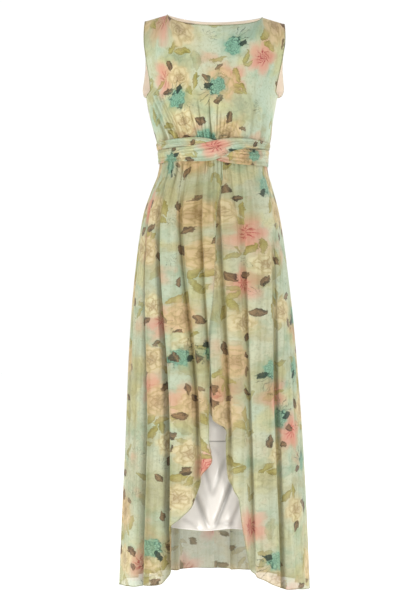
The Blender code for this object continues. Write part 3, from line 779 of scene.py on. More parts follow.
# Narrow creases, by the angle of the cloth at the hem. A negative depth is a ridge
SKIRT_CREASES = table(
    "at_hem width depth top bottom",
    (-1.6, 1.0, 0.0034, -0.372, -1.050),
    (-4.0, 1.1, 0.0024, -0.372, -0.560),
    (1.6, 1.2, -0.0022, -0.380, -0.800),
    (-50.5, 1.0, 0.0040, -0.540, -1.440),
    (-30.4, 1.0, 0.0036, -0.420, -1.440),
    (-26.0, 1.8, -0.0026, -0.400, -1.200),
    (-10.5, 1.1, 0.0042, -0.375, -1.180),
    (-13.6, 1.0, 0.0022, -0.372, -0.520),
    (-17.5, 1.2, -0.0020, -0.372, -0.700),
    (-21.0, 1.0, 0.0020, -0.372, -0.500),
    (-36.5, 1.6, -0.0024, -0.430, -1.150),
    (-44.0, 2.0, 0.0022, -0.900, -1.440),
    (-63.0, 2.2, 0.0022, -0.600, -1.300),
    (-74.0, 2.2, 0.0026, -0.480, -1.400),
    (5.6, 1.0, 0.0022, -0.372, -0.560),
    (9.8, 1.1, 0.0034, -0.380, -1.160),
    (14.4, 1.2, -0.0022, -0.372, -0.760),
    (18.6, 1.2, 0.0020, -0.372, -0.540),
    (24.2, 1.3, 0.0034, -0.560, -1.360),
    (31.0, 2.2, -0.0020, -0.600, -1.200),
    (34.0, 1.4, 0.0018, -0.372, -0.640),
    (47.2, 1.2, 0.0036, -0.700, -1.440),
    (56.0, 1.5, 0.0016, -0.372, -0.600),
    (66.0, 2.0, 0.0022, -0.700, -1.400),
    (79.0, 2.2, 0.0020, -0.560, -1.300),
    (96.0, 2.4, 0.0022, -0.600, -1.400),
    (107.6, 1.2, 0.0040, -0.520, -1.440),
    (119.0, 1.7, 0.0022, -0.400, -0.900),
    (130.4, 1.2, 0.0042, -0.410, -1.440),
    (138.0, 1.6, -0.0024, -0.380, -0.800),
    (149.4, 1.2, 0.0036, -0.390, -1.440),
    (158.0, 1.4, 0.0022, -0.372, -0.640),
    (168.4, 1.2, 0.0034, -0.385, -1.440),
    (-175.0, 1.5, 0.0022, -0.372, -0.600),
    (-166.0, 1.6, 0.0024, -0.372, -0.900),
    (-152.6, 1.2, 0.0036, -0.410, -1.440),
    (-143.0, 1.6, -0.0022, -0.380, -0.700),
    (-133.4, 1.2, 0.0042, -0.400, -1.440),
    (-122.0, 1.7, 0.0020, -0.400, -0.700),
    (-112.4, 1.2, 0.0040, -0.460, -1.440),
    (-98.0, 2.4, 0.0024, -0.620, -1.400),
)
# Short tucks where the cloth is gathered into the waist seam, by the angle at the waist, and how far down they run
WAIST_TUCKS = table(
    "at_waist width depth reach",
    (-61.0, 1.1, 0.0024, 0.075),
    (-53.0, 1.0, 0.0028, 0.100),
    (-46.5, 0.9, 0.0026, 0.060),
    (-40.5, 1.0, 0.0030, 0.115),
    (-33.0, 0.9, 0.0026, 0.070),
    (-27.5, 0.9, 0.0030, 0.130),
    (-23.5, 0.8, 0.0024, 0.050),
    (-15.5, 0.9, 0.0030, 0.110),
    (-8.0, 0.8, 0.0026, 0.070),
    (-5.2, 0.7, 0.0024, 0.045),
    (0.6, 0.8, 0.0028, 0.095),
    (4.4, 0.7, 0.0024, 0.055),
    (8.2, 0.8, 0.0030, 0.120),
    (15.2, 0.9, 0.0026, 0.080),
    (22.5, 0.9, 0.0026, 0.060),
    (28.0, 1.0, 0.0028, 0.100),
    (37.0, 1.0, 0.0022, 0.055),
    (46.0, 1.2, 0.0022, 0.075),
    (118.0, 1.2, 0.0024, 0.080),
    (131.0, 1.1, 0.0028, 0.110),
    (139.0, 1.0, 0.0026, 0.060),
    (152.0, 1.1, 0.0028, 0.090),
    (159.0, 0.9, 0.0024, 0.050),
    (169.0, 1.0, 0.0028, 0.105),
    (-176.0, 0.9, 0.0024, 0.060),
    (-163.0, 1.0, 0.0028, 0.095),
    (-154.0, 0.9, 0.0026, 0.055),
    (-144.0, 1.1, 0.0028, 0.100),
    (-131.0, 1.1, 0.0026, 0.070),
    (-119.0, 1.2, 0.0024, 0.085),
)
print(len(SKIRT_FOLDS["width"]), "folds,", len(WAIST_GATHERS["width"]) + len(WAIST_TUCKS["width"]), "gathers")
print(len(SKIRT_CREASES["width"]), "narrow creases")

# %% [markdown]
# The tables say where the folds are, and these functions say what they do. One gives the lean of the cloth, which
# moves it round the figure, and the others how far each kind of fold draws it in. A deep fold also pulls its banks
# together, so that its mouth is narrow and its sides are steep.

# %% How the folds move the cloth
FOLD_SKEW = 0.3
MOUTH_LEFT = 0.9
MOUTH_RIGHT = 1.7
FOLD_RUN = 1.05
LEAN_RUN = 0.75
FULL_DEPTH = 0.024


def leaned(angle, height):
    """Angle round the figure of the cloth that reaches the hem at the given angle: near the waist it has shifted by
    its fold's lean, times (1 - ease((waist - height) / run)) to the power 1.5."""
    hem = np.concatenate([[-180, -90], SKIRT_FOLDS["at_hem"], [90, 180]])
    waist = np.concatenate([[-180, -90], SKIRT_FOLDS["at_waist"], [90, 180]])
    order = np.argsort(hem)
    shift = np.interp(turned(angle), hem[order], (waist - hem)[order])
    for centre, level, width, tall, swing in zip(*SWINGS.values()):
        angle = angle + swing * bell(height - level, tall) * bell(turned(angle) - centre, width)
    return angle + shift * (1 - ease((WAIST - height) / LEAN_RUN)) ** 1.5


def skewed(width, aside):
    """A fold's width on the side where aside lies: narrower on one side than on the other."""
    return width * (1 - FOLD_SKEW * np.sign(aside))


def fold_depth(angle, height):
    """How far the deep folds and the waist's gathers draw the cloth in: the sum of all their bells."""
    drawn = np.zeros(np.broadcast(angle, height).shape)
    for _, hem, width, depth, top in zip(*SKIRT_FOLDS.values()):
        share = np.clip((top - height) / FOLD_RUN, 0, 1)
        aside = turned(angle - hem)
        drawn += depth * np.sqrt(share) * ease(share / 0.08) * bell(aside, skewed(width, aside))
    around = leaned(angle, np.broadcast_to(WAIST, drawn.shape))
    near = ease((WAIST - height) / 0.03) * (1 - ease((WAIST - 0.04 - height) / 0.15))
    for waist, width, depth in zip(*WAIST_GATHERS.values()):
        drawn += depth * near * bell(turned(around - waist), width)
    return drawn


def folded(angle, height):
    """How far inside a deep fold the cloth lies, 0 to 1, whatever the fold's depth there."""
    inside = np.zeros(np.broadcast(angle, height).shape)
    for _, hem, width, depth, top in zip(*SKIRT_FOLDS.values()):
        aside = turned(angle - hem)
        dark = ease((top - height) / 0.16) * bell(aside, skewed(width, aside)) * (depth / FULL_DEPTH) ** 0.5
        inside = np.maximum(inside, dark)
    return inside


def drawn_to(angle, height):
    """How many degrees the banks of the deep folds move towards the middle of their fold, which makes a fold's mouth
    narrow and its sides steep: squeeze * width * s^3 exp(-s^2), where s is the distance from the middle in widths.
    The back's folds keep wider mouths."""
    moved = np.zeros(np.broadcast(angle, height).shape)
    for _, hem, width, _, top in zip(*SKIRT_FOLDS.values()):
        aside = turned(angle - hem)
        wide = skewed(width, aside)
        s = aside / wide
        squeeze = np.where(aside > 0, MOUTH_RIGHT, MOUTH_LEFT) * ease((top - height) / 0.10)
        squeeze = squeeze * (0.5 if abs(hem) > 90 else 1.0)
        moved += squeeze * wide * s**3 * bell(aside, wide)
    return moved


def crease_depth(angle, height):
    """The narrow creases: bells that fade in below their top and out above their foot, and the waist's tucks."""
    drawn = np.zeros(np.broadcast(angle, height).shape)
    for hem, width, depth, top, bottom in zip(*SKIRT_CREASES.values()):
        along = (top - height) / (top - bottom)
        fade = ease(along / 0.22) * (1 - ease((along - 0.72) / 0.28) * (bottom > -1.43))
        drawn += depth * fade * bell(turned(angle - hem), width)
    around = leaned(angle, np.broadcast_to(WAIST, drawn.shape))
    for waist, width, depth, reach in zip(*WAIST_TUCKS.values()):
        near = ease((WAIST - height) / 0.012) * (1 - ease((WAIST - 0.3 * reach - height) / reach))
        drawn += depth * near * bell(turned(around - waist), width)
    return drawn


def ripple(angle, height):
    """A slow ripple that grows towards the hem, of three sines that don't share a rhythm."""
    a = np.radians(angle)
    grown = ease((-0.75 - height) / 0.70)
    return grown * (0.0016 * np.sin(17 * a + 0.7) + 0.0013 * np.sin(29 * a + 5.0 * height) + 0.0008 * np.sin(47 * a))


print("the deepest fold draws the hem in by", round(float(fold_depth(np.arange(-180.0, 180.0), -1.43).max()), 3), "m")

# %% [markdown]
# The two front panels don't end in a level hem: their lower edge climbs from the hem up to the waist as a free edge,
# and one panel laps over the other. The columns of the grid are spread evenly along that edge, so that it is as smooth
# where it is steep as where it is level.

# %% Edges and the lap of the front panels
OVER_EDGE = table(
    "angle height",
    (-90.0, -1.421),
    (-70.0, -1.413),
    (-50.0, -1.401),
    (-36.0, -1.390),
    (-31.0, -1.372),
    (-28.4, -1.340),
    (-27.2, -1.266),
    (-20.0, -1.226),
    (-12.5, -1.184),
    (-8.0, -1.139),
    (-4.0, -1.092),
    (-3.1, -1.030),
    (-2.5, -0.965),
    (-0.8, -0.850),
    (2.2, -0.720),
    (5.5, -0.600),
    (9.0, -0.500),
    (13.0, -0.415),
)
UNDER_EDGE = table(
    "angle height",
    (-13.0, -0.430),
    (-9.0, -0.600),
    (-6.5, -0.800),
    (-4.8, -0.930),
    (-3.3, -0.975),
    (1.0, -1.003),
    (5.4, -1.030),
    (6.1, -1.085),
    (8.0, -1.132),
    (14.2, -1.182),
    (15.2, -1.250),
    (17.6, -1.325),
    (21.0, -1.351),
    (27.0, -1.369),
    (41.0, -1.402),
    (60.0, -1.415),
    (90.0, -1.433),
)
BACK_HEM = table(
    "angle height",
    (90.0, -1.433),
    (180.0, -1.428),
    (270.0, -1.421),
)
LAP = table(
    "angle share",
    (-60.0, 0.0),
    (-24.0, 1.0),
    (13.0, 1.0),
)
LAP_OUT = table(
    "height out",
    (-1.435, 0.0050),
    (-0.600, 0.0048),
    (-0.480, 0.0040),
    (-0.400, 0.0034),
    (-0.368, 0.0027),
)


def lap(angle, height):
    """How far the over panel stands out from the under one."""
    return ease(np.interp(angle, LAP["angle"], LAP["share"])) * read(LAP_OUT, "height", "out", height)


METRES_PER_DEGREE = 0.0042


def spread(edge, count):
    """Angles spaced evenly along a lower edge: equal steps of its length, with its climb counted by half."""
    fine = np.linspace(edge["angle"][0], edge["angle"][-1], 6000)
    climb = 0.5 * np.diff(read(edge, "angle", "height", fine))
    along = np.concatenate([[0.0], np.cumsum(np.hypot(METRES_PER_DEGREE * np.diff(fine), climb))])
    return np.interp(np.linspace(0.0, along[-1], count), along, fine)


# %% [markdown]
# A panel is cut flat, gathered to a third of its width at the waist, and left to fall. Its grid is made the same way:
# columns that run from the waist seam to the lower edge, pushed in by the folds, the creases and the tucks. The place
# on the flat cloth is counted along the folds, so that a flower that runs into a fold is hidden in part, as on the
# dress.

# %% Lay out a skirt panel
CORNER_INSET = 0.0006
PRINT_LEVEL = -1.15
SEAM_MARGIN = 6.0


def skirt_panel(edge, columns, rows, lapped=False, print_place=(0.0, 0.0)):
    """A panel's grid: a column down each hem angle from the waist seam to the lower edge, with rows closer together
    near the waist. On the flat cloth, across is the length along the folds at the print's level, which shrinks a
    little towards the waist. The banks of the folds don't move at the seams on both sides."""
    angle = spread(edge, columns)
    share = np.linspace(0, 1, rows)[:, None] ** 1.25
    top = WAIST - HALF_GAP
    height = top + share * (read(edge, "angle", "height", angle) - top)
    angle = np.broadcast_to(angle, height.shape)
    deep = fold_depth(angle, height)
    out = -deep - crease_depth(angle, height) + ripple(angle, height)
    if lapped:
        out = out + lap(angle, height)
    inner = np.clip(np.minimum(angle - angle[0, 0], angle[0, -1] - angle) / SEAM_MARGIN, 0, 1)
    around = leaned(angle - inner * drawn_to(angle, height), height)
    points = swayed(section(around, height, out - CORNER_INSET))
    low = section(angle[0], PRINT_LEVEL, -fold_depth(angle[0], PRINT_LEVEL))
    across = np.concatenate([[0.0], np.cumsum(np.linalg.norm(np.diff(low, axis=0), axis=1))])
    narrow = 0.80 + 0.20 * ease((WAIST - height) / 0.9)
    cloth = np.stack([across * narrow + print_place[0], height * 1.02 + print_place[1]], -1)
    # Painted shade, partly real: darker deep in folds, along creases and near the gathered waist, where sheer cloth
    # also lies over itself
    pinch = np.clip(crease_depth(angle, height) / 0.004, 0, 1)
    crowded = 0.22 * np.exp((height - WAIST) / 0.14)
    doubled_and_shade = 0.9 * folded(angle, height) ** 1.3 + 0.6 * pinch + crowded
    return SimpleNamespace(points=points, cloth=cloth, doubled_and_shade=np.clip(doubled_and_shade, 0, 1))


panels = {
    "skirt_front_over": skirt_panel(OVER_EDGE, 270, 180, lapped=True, print_place=(0.00, 0.10)),
    "skirt_front_under": skirt_panel(UNDER_EDGE, 270, 180, print_place=(1.30, 0.37)),
}
left_hem = {k: v[:2] for k, v in BACK_HEM.items()}
right_hem = {k: v[1:] for k, v in BACK_HEM.items()}
panels["skirt_back_left"] = skirt_panel(left_hem, 170, 170, print_place=(2.70, 0.81))
panels["skirt_back_right"] = skirt_panel(right_hem, 170, 170, print_place=(4.10, 0.23))
dressed = {}
for name, panel in panels.items():
    finish = back_chiffon if "back" in name else sheer_chiffon
    dressed[name] = piece_of(f"{name}_chiffon", [finish], [panel])
    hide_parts(name)
    print(name, "has", len(dressed[name].data.polygons), "faces and", round(area_of(panel.points), 3), "m2 of cloth")

# %% [markdown]
# ## The lining
#
# The satin underskirt is a plain tube that hangs inside the skirt's folds and ends above the ankle. It shows in the
# parting of the skirt, where two soft folds run down into a V, and a seam crosses it at the knee. A crease that
# isn't upright is laid along a line between two points on the cloth.

# %% Creases along a line
def line_depth(points, lines):
    """The sum of the lines' bells: depth * exp(-(distance from the line / width)^2), fading out at both ends."""
    drawn = np.zeros(points.shape[:-1])
    for x0, z0, x1, z1, width, depth in zip(*lines.values()):
        long = np.hypot(x1 - x0, z1 - z0)
        x, z = points[..., 0] - x0, points[..., 2] - z0
        along = (x * (x1 - x0) + z * (z1 - z0)) / long**2
        aside = (x * (z1 - z0) - z * (x1 - x0)) / long
        fade = ease((along + 0.12) / 0.3) * ease((1.12 - along) / 0.3)
        drawn += depth * fade * bell(aside, width)
    return drawn


LINING_INSET = table(
    "height inset",
    (-1.262, 0.0340),
    (-1.000, 0.0310),
    (-0.700, 0.0240),
    (-0.500, 0.0155),
    (-0.430, 0.0105),
    (-0.396, 0.0078),
    (-0.380, 0.0058),
    (-0.368, 0.0034),
)
LINING_WAVES = table(
    "angle width depth",
    (-62.0, 9.0, 0.008),
    (-14.0, 7.0, 0.008),
    (12.0, 7.0, 0.006),
    (55.0, 9.0, 0.008),
    (120.0, 9.0, 0.008),
    (160.0, 9.0, 0.008),
    (205.0, 9.0, 0.008),
    (245.0, 9.0, 0.008),
)
LINING_LINES = table(
    "x_from z_from x_to z_to width depth",
    (-0.052, -1.172, -0.016, -1.256, 0.0060, 0.0062),
    (0.048, -1.140, 0.002, -1.256, 0.0068, 0.0070),
    (-0.030, -1.100, -0.008, -1.176, 0.0052, 0.0040),
    (0.026, -1.096, -0.004, -1.180, 0.0056, 0.0044),
    (-0.020, -1.176, -0.006, -1.250, 0.0080, -0.0030),
    (0.066, -1.190, 0.040, -1.256, 0.0060, 0.0036),
    (-0.080, -1.236, -0.038, -1.256, 0.0050, 0.0030),
    (0.000, -1.246, 0.050, -1.250, 0.0040, 0.0022),
    (-0.008, -1.060, 0.014, -1.084, 0.0030, 0.0016),
)
LINING_HEM = -1.262
LINING_SEAM = -1.051


def lining_half(start, rows=190, columns=150):
    """Half of the lining: the figure's section, drawn in by an inset, broad waves and the lines of the V. Painted shade
    darkens the satin along the V's lines on the front, in the seam's groove and towards the hem.
    """
    even = np.linspace(WAIST - HALF_GAP, LINING_HEM, rows)
    height = np.sort(np.concatenate([even, LINING_SEAM + np.linspace(-0.004, 0.004, 9)]))[::-1, None]
    angle = np.linspace(start, start + 180.0, columns)[None, :] + 0 * height
    height = height + 0 * angle
    inset = read(LINING_INSET, "height", "inset", height) + CORNER_INSET
    for centre, width, depth in zip(*LINING_WAVES.values()):
        inset = inset + depth * ease((-0.6 - height) / 0.66) * bell(angle - centre, width)
    seam = bell(height - LINING_SEAM, 0.0014)
    inset = inset + 0.0016 * seam
    shaded = np.zeros(height.shape)
    if start < 0:
        lines = line_depth(section(angle, height, -inset), LINING_LINES)
        shaded = np.clip(lines / 0.0055, 0, 1)
        inset = inset + lines
    points = section(angle, height, -inset)
    points[..., 2] += 0.0022 * np.sin(np.radians(angle) * 9.0) * ease((-1.15 - height) / 0.11)
    cloth = np.stack([np.radians(angle) * 0.19, height], -1)
    # Painted shade: the V's lines, and darker towards the hem
    shaded = 0.68 * shaded + 0.20 * ease((-1.08 - height) / 0.12)
    return SimpleNamespace(points=swayed(points), cloth=cloth, doubled_and_shade=np.clip(seam + shaded, 0, 1))


for name, start in (("lining_front", -90.0), ("lining_back", 90.0)):
    panels[name] = lining_half(start)
    dressed[name] = piece_of(f"{name}_satin", [white_satin], [panels[name]])
    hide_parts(name)
    print(name, "has", round(area_of(panels[name].points), 3), "m2 of satin")

# %% [markdown]
# ## The bodice
#
# The bodice is one front panel and two back panels. Below the arm its sections are the figure's, and above it each
# level ends at the armhole's edge. From the height of the upper chest each column of the cloth bends over to the
# neck or the shoulder seam along a Hermite curve, which is set by where it starts and ends and the direction it leaves
# and arrives in. The bodice is fully lined, so it gets an inner face as well, which shows in the armholes. Its cream
# satin is made lighter than the lining's as painted light, because the inside of the armholes lies in shade.

# %% The bodice's sizes
UNDERARM = -0.206
CHEST = -0.090
NECK_POINT_X = 0.118
SHOULDER_TIP = (0.175, -0.017)
SHOULDER_DROP = 0.0065
FRONT_NECK = (-0.070, -0.0385)
BACK_NECK = (0.052, -0.0085)
NECK_SHARE = 0.64
ARMHOLE_FOOT = -0.196
BELOW_CHEST = -0.125
FRONT_ARMHOLE = table(
    "height edge_x edge_y depth half_width",
    (-0.2060, 0.1645, 0.0000, 0.1205, 0.1645),
    (-0.2035, 0.1622, 0.0228, 0.1200, 0.1652),
    (-0.1960, 0.1560, 0.0431, 0.1185, 0.1675),
    (-0.1800, 0.1575, 0.0488, 0.1148, 0.1740),
    (-0.1550, 0.1620, 0.0518, 0.1083, 0.1845),
    (-0.1250, 0.1680, 0.0500, 0.0999, 0.1940),
    (-0.0900, 0.1735, 0.0445, 0.0895, 0.2000),
)
BACK_ARMHOLE = table(
    "height edge_x edge_y depth half_width",
    (-0.2060, 0.1645, 0.0000, 0.1110, 0.1645),
    (-0.2035, 0.1690, 0.0240, 0.1112, 0.1652),
    (-0.1960, 0.1755, 0.0400, 0.1116, 0.1675),
    (-0.1800, 0.1790, 0.0500, 0.1120, 0.1740),
    (-0.1550, 0.1765, 0.0540, 0.1105, 0.1825),
    (-0.1250, 0.1740, 0.0530, 0.1060, 0.1890),
    (-0.0900, 0.1740, 0.0430, 0.0960, 0.1925),
)
# Gathers that fan up from the waist: the share of the way from the centre front to the side, and how high they run
BODICE_GATHERS = table(
    "place width depth top",
    (-0.640, 0.050, 0.0070, -0.170),
    (-0.500, 0.030, 0.0050, -0.200),
    (-0.400, 0.024, 0.0045, -0.210),
    (-0.310, 0.022, 0.0045, -0.220),
    (-0.215, 0.020, 0.0048, -0.230),
    (-0.120, 0.018, 0.0048, -0.235),
    (-0.025, 0.018, 0.0052, -0.210),
    (0.085, 0.018, 0.0050, -0.210),
    (0.170, 0.018, 0.0048, -0.225),
    (0.260, 0.020, 0.0040, -0.240),
    (0.360, 0.024, 0.0035, -0.245),
    (0.620, 0.050, 0.0050, -0.195),
)
# Creases of the front that pull up towards the armhole, and fine ones among the gathers
BODICE_LINES = table(
    "x_from z_from x_to z_to width depth",
    (-0.0790, -0.3190, -0.1210, -0.2180, 0.0020, 0.0021),
    (-0.0860, -0.3190, -0.1320, -0.2060, 0.0020, 0.0024),
    (-0.0940, -0.3200, -0.1400, -0.2040, 0.0020, 0.0024),
    (-0.1020, -0.3220, -0.1460, -0.2140, 0.0020, 0.0021),
    (-0.1110, -0.3240, -0.1490, -0.2360, 0.0020, 0.0017),
    (-0.1113, -0.2760, -0.1420, -0.2090, 0.0030, -0.0016),
    (-0.0930, -0.3200, -0.1290, -0.2600, 0.0030, -0.0015),
    (-0.0700, -0.3310, -0.0980, -0.2560, 0.0017, 0.0013),
    (-0.0620, -0.3310, -0.0860, -0.2740, 0.0016, 0.0018),
    (-0.0550, -0.3290, -0.0770, -0.2480, 0.0016, 0.0020),
    (-0.0490, -0.3280, -0.0640, -0.2840, 0.0015, 0.0012),
    (-0.0430, -0.3250, -0.0620, -0.2460, 0.0018, -0.0012),
    (-0.0370, -0.3250, -0.0540, -0.2500, 0.0016, 0.0020),
    (-0.0300, -0.3250, -0.0400, -0.2780, 0.0015, 0.0013),
    (-0.0230, -0.3230, -0.0340, -0.2340, 0.0016, 0.0018),
    (-0.0160, -0.3230, -0.0200, -0.2700, 0.0015, 0.0015),
    (-0.0100, -0.3230, -0.0130, -0.2440, 0.0016, -0.0012),
    (-0.0050, -0.3230, -0.0060, -0.2280, 0.0016, 0.0022),
    (0.0020, -0.3230, 0.0050, -0.2800, 0.0015, 0.0012),
    (0.0080, -0.3230, 0.0150, -0.2400, 0.0016, 0.0018),
    (0.0150, -0.3230, 0.0230, -0.2560, 0.0016, 0.0012),
    (0.0210, -0.3220, 0.0330, -0.2700, 0.0016, 0.0018),
    (0.0290, -0.3210, 0.0440, -0.2480, 0.0018, 0.0012),
    (0.0370, -0.3200, 0.0500, -0.2820, 0.0017, 0.0014),
    (0.0470, -0.3190, 0.0620, -0.2760, 0.0020, 0.0009),
    (0.0900, -0.3180, 0.1080, -0.2300, 0.0040, 0.0014),
    (0.1120, -0.3100, 0.1240, -0.2180, 0.0040, -0.0012),
)

# %% [markdown]
# The gathers are bells again, but they fan out as they rise, because the cloth that is drawn together at the waist has
# to spread over the bust. The lowest part of the panel is level rows; the top is one curve for each column, which is
# simpler than a grid that has to turn from the chest over the shoulder.

# %% Points of a bodice panel
def neck_edge(place, neck):
    """The neck and shoulder edge, for place from 0 at the centre to 1 at the tip of the shoulder: a quarter turn
    t along the neck, x sin t, y cos^2 t, z cos^1.4 t, and then a straight shoulder."""
    turn = np.clip(place / NECK_SHARE, 0, 1) * np.pi / 2
    along = np.clip((place - NECK_SHARE) / (1 - NECK_SHARE), 0, 1)
    x = NECK_POINT_X * np.sin(turn) + along * (SHOULDER_TIP[0] - NECK_POINT_X)
    y = neck[0] * np.cos(turn) ** 2
    z = neck[1] * np.abs(np.cos(turn)) ** 1.4 + along * SHOULDER_TIP[1]
    return np.stack([x, y, z], -1)


def gather_depth(place, height):
    """The gathers' bells, which spread and fan out as they fade towards their top."""
    drawn = np.zeros(np.broadcast(place, height).shape)
    for centre, width, depth, top in zip(*BODICE_GATHERS.values()):
        fade = 1 - ease((height - WAIST) / (top - WAIST))
        drawn += depth * fade * bell(place - centre * (1 + 0.12 * (1 - fade)), width * (1 + 1.2 * (1 - fade)))
    return drawn


def pleat_lines(points):
    """The bodice's creases, drawn half as deep again as the table's, because the cloth is finer than its wall."""
    return 1.5 * line_depth(points, BODICE_LINES)


def bodice_level(place, height, behind):
    """Outer points at one place and height each: the section's ellipse below the arm, and above it an ellipse whose
    columns draw in so that the outermost one, share 1, follows the armhole's edge."""
    armhole = BACK_ARMHOLE if behind else FRONT_ARMHOLE
    facing, squeeze = (1.0, 28.0) if behind else (-1.0, 27.0)
    place, height = np.broadcast_arrays(place, height)
    share, low = np.abs(place), height <= UNDERARM
    below = read(FIGURE, "height", "half_width", height)
    half_width = np.where(low, below, read(armhole, "height", "half_width", height))
    edge_x = np.where(low, below, read(armhole, "height", "edge_x", height))
    edge_y = np.where(low, 0.0, read(armhole, "height", "edge_y", height))
    deep = read(FIGURE, "height", "back" if behind else "front", height)
    depth = np.where(low, deep, read(armhole, "height", "depth", height))
    edge_angle = np.arccos(edge_y / depth)
    eased = 90.0 - squeeze * ease((height + 0.29) / 0.13)
    turn = np.radians(share * (share**6 * np.degrees(edge_angle) + (1 - share**6) * eased))
    x = half_width * np.sin(turn) + share**6 * (edge_x - half_width * np.sin(edge_angle))
    points = np.stack([x * np.sign(place), facing * depth * np.cos(turn), height], -1)
    fade = ease((-0.2 - height) / 0.1) * (1 - ease((-0.3 - height) / 0.06))
    drawn = 0.0015 * np.sin(40.0 * height + 5.0 * place) * fade
    if not behind:
        drawn = gather_depth(np.sign(place) * turn * 2 / np.pi, height) + pleat_lines(points)
    inward = np.stack([np.sin(turn) * np.sign(place), facing * np.cos(turn)], -1)
    points[..., :2] -= inward * np.expand_dims(np.broadcast_to(drawn, place.shape), -1)
    return points


def bodice_panel(place, behind=False, print_place=(0.0, 0.0)):
    """A panel's grid: level rows up to the chest, and then rows along each column's Hermite curve to the edge."""
    facing = 1.0 if behind else -1.0
    low = np.concatenate([np.linspace(WAIST + HALF_GAP, UNDERARM, 66), np.linspace(UNDERARM, ARMHOLE_FOOT, 9)[1:]])
    heights = np.concatenate([low, np.linspace(ARMHOLE_FOOT, CHEST, 36)[1:]])[:, None]
    level = bodice_level(place[None, :], heights, behind)
    base, below = level[-1], bodice_level(place, BELOW_CHEST, behind)
    share = np.abs(place)
    edge = neck_edge(share, BACK_NECK if behind else FRONT_NECK)
    edge[:, 2] -= SHOULDER_DROP * ease(share / NECK_SHARE) * (place > 0)
    edge[:, 0] *= np.where(place < 0, -1, 1)
    leave = base - below
    leave /= np.linalg.norm(leave, axis=1, keepdims=True)
    over = ease(share / NECK_SHARE)[:, None]
    arrive = (1 - over) * np.array([0, -facing * 0.30, 0.95]) + over * np.array([0, -facing * 0.93, 0.36])
    reach = np.linalg.norm(edge - base, axis=1, keepdims=True)
    t = np.linspace(0, 1, 40)[1:, None, None]
    bend = reach * (t * (1 - t) ** 2 * leave - t * t * (1 - t) * arrive)
    over_shoulder = base * (1 - ease(t)) + edge * ease(t) + bend
    points = np.concatenate([level, over_shoulder])
    down = np.concatenate([[0.0], np.cumsum(np.linalg.norm(np.diff(points[:, len(place) // 2], axis=0), axis=1))])
    cloth = np.stack(np.broadcast_arrays(place[None, :] * 0.215 + print_place[0], down[:, None] + print_place[1]), -1)
    # Painted shade: the front darkens in its gathers and along its creases
    doubled_and_shade = np.zeros(points.shape[:2])
    if not behind:
        deep = (gather_depth(place[None, :], heights) / 0.0042) ** 1.5
        doubled_and_shade[: len(heights)] = np.clip(0.6 * deep + 0.6 * np.clip(pleat_lines(level) / 0.0030, 0, 1), 0, 1)
    return SimpleNamespace(points=swayed(points), cloth=cloth, doubled_and_shade=doubled_and_shade)


# The front's columns stand closer together among the gathers than near the sides
ends = np.linspace(-1.0, 1.0, 305)
front_places = ends * (0.80 + 0.65 * ends**2 - 0.45 * ends**4)
back_places = np.linspace(0.0, 1.0, 140) ** 0.9
panels["bodice_front"] = bodice_panel(front_places, print_place=(5.63, 0.14))
panels["bodice_back_left"] = bodice_panel(back_places, behind=True, print_place=(6.90, 0.52))
panels["bodice_back_right"] = bodice_panel(-back_places[::-1], behind=True, print_place=(8.20, 0.33))
print("bodice front:", round(area_of(panels["bodice_front"].points), 3), "m2 over the gathers")

# %% [markdown]
# The bodice has two layers that are sewn together round their edges. Both faces are the same grid, a millimetre apart,
# and a strip joins them. It could be left to a solidify modifier, but its inner face has a finish of its own, and the
# corners have to meet exactly for the skin to be closed.

# %% Line the bodice and close its edges
BODICE_CLOTH = 0.0011
UNDER_FACE = 0.0002


def walled(panel, thickness, inner_finish=0):
    """A panel's outer grid, the same grid moved in along its normals, and a strip that closes their four edges. The
    outer grid starts a little way under the solid's face."""
    normal = outward(panel.points)
    outer = panel.points - UNDER_FACE * normal
    inner = panel.points - (UNDER_FACE + thickness) * normal
    around = [(slice(0, 1), slice(None)), (slice(None), slice(-1, None)), (slice(-1, None), slice(None, None, -1))]
    around.append((slice(None, None, -1), slice(0, 1)))

    def rim(grid):
        return np.concatenate([grid[part].reshape(-1, grid.shape[-1])[:-1] for part in around])

    outline, lining_line, flat = rim(outer), rim(inner), rim(panel.cloth)
    strip = np.stack([np.append(outline, outline[:1], 0), np.append(lining_line, lining_line[:1], 0)])
    edge = SimpleNamespace(points=strip, cloth=np.stack([np.append(flat, flat[:1], 0)] * 2))
    main = SimpleNamespace(points=outer, cloth=panel.cloth, doubled_and_shade=panel.doubled_and_shade)
    back = SimpleNamespace(points=inner, cloth=panel.cloth, doubled_and_shade=0.0, finish=inner_finish, inwards=True)
    return [main, back, edge]


def weld(piece):
    """Joins corners that share a place, so that a wall is one closed skin with its faces outwards."""
    whole = bmesh.new()
    whole.from_mesh(piece.data)
    bmesh.ops.remove_doubles(whole, verts=whole.verts[:], dist=1e-6)
    bmesh.ops.recalc_face_normals(whole, faces=whole.faces[:])
    open_edges = sum(not edge.is_manifold for edge in whole.edges)
    whole.to_mesh(piece.data)
    whole.free()
    piece.data.set_sharp_from_angle(angle=np.radians(60))
    return open_edges


for name in ("bodice_front", "bodice_back_left", "bodice_back_right"):
    grids = walled(panels[name], BODICE_CLOTH, inner_finish=1)
    dressed[name] = piece_of(f"{name}_chiffon", [opaque_chiffon, lit_inner_satin], grids)
    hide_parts(name)
    print(name, "has", weld(dressed[name]), "open edges and", len(dressed[name].data.polygons), "faces")

# %% [markdown]
# ## The sash
#
# Two lengths of chiffon cross over the front of the waist, each laid in soft pleats that crowd together where they
# cross. They are the bodice's and the skirt's cloth again, folded double, so they are opaque and stand out a few
# millimetres. Each is a band whose two edges and distance from the waist change along the way.

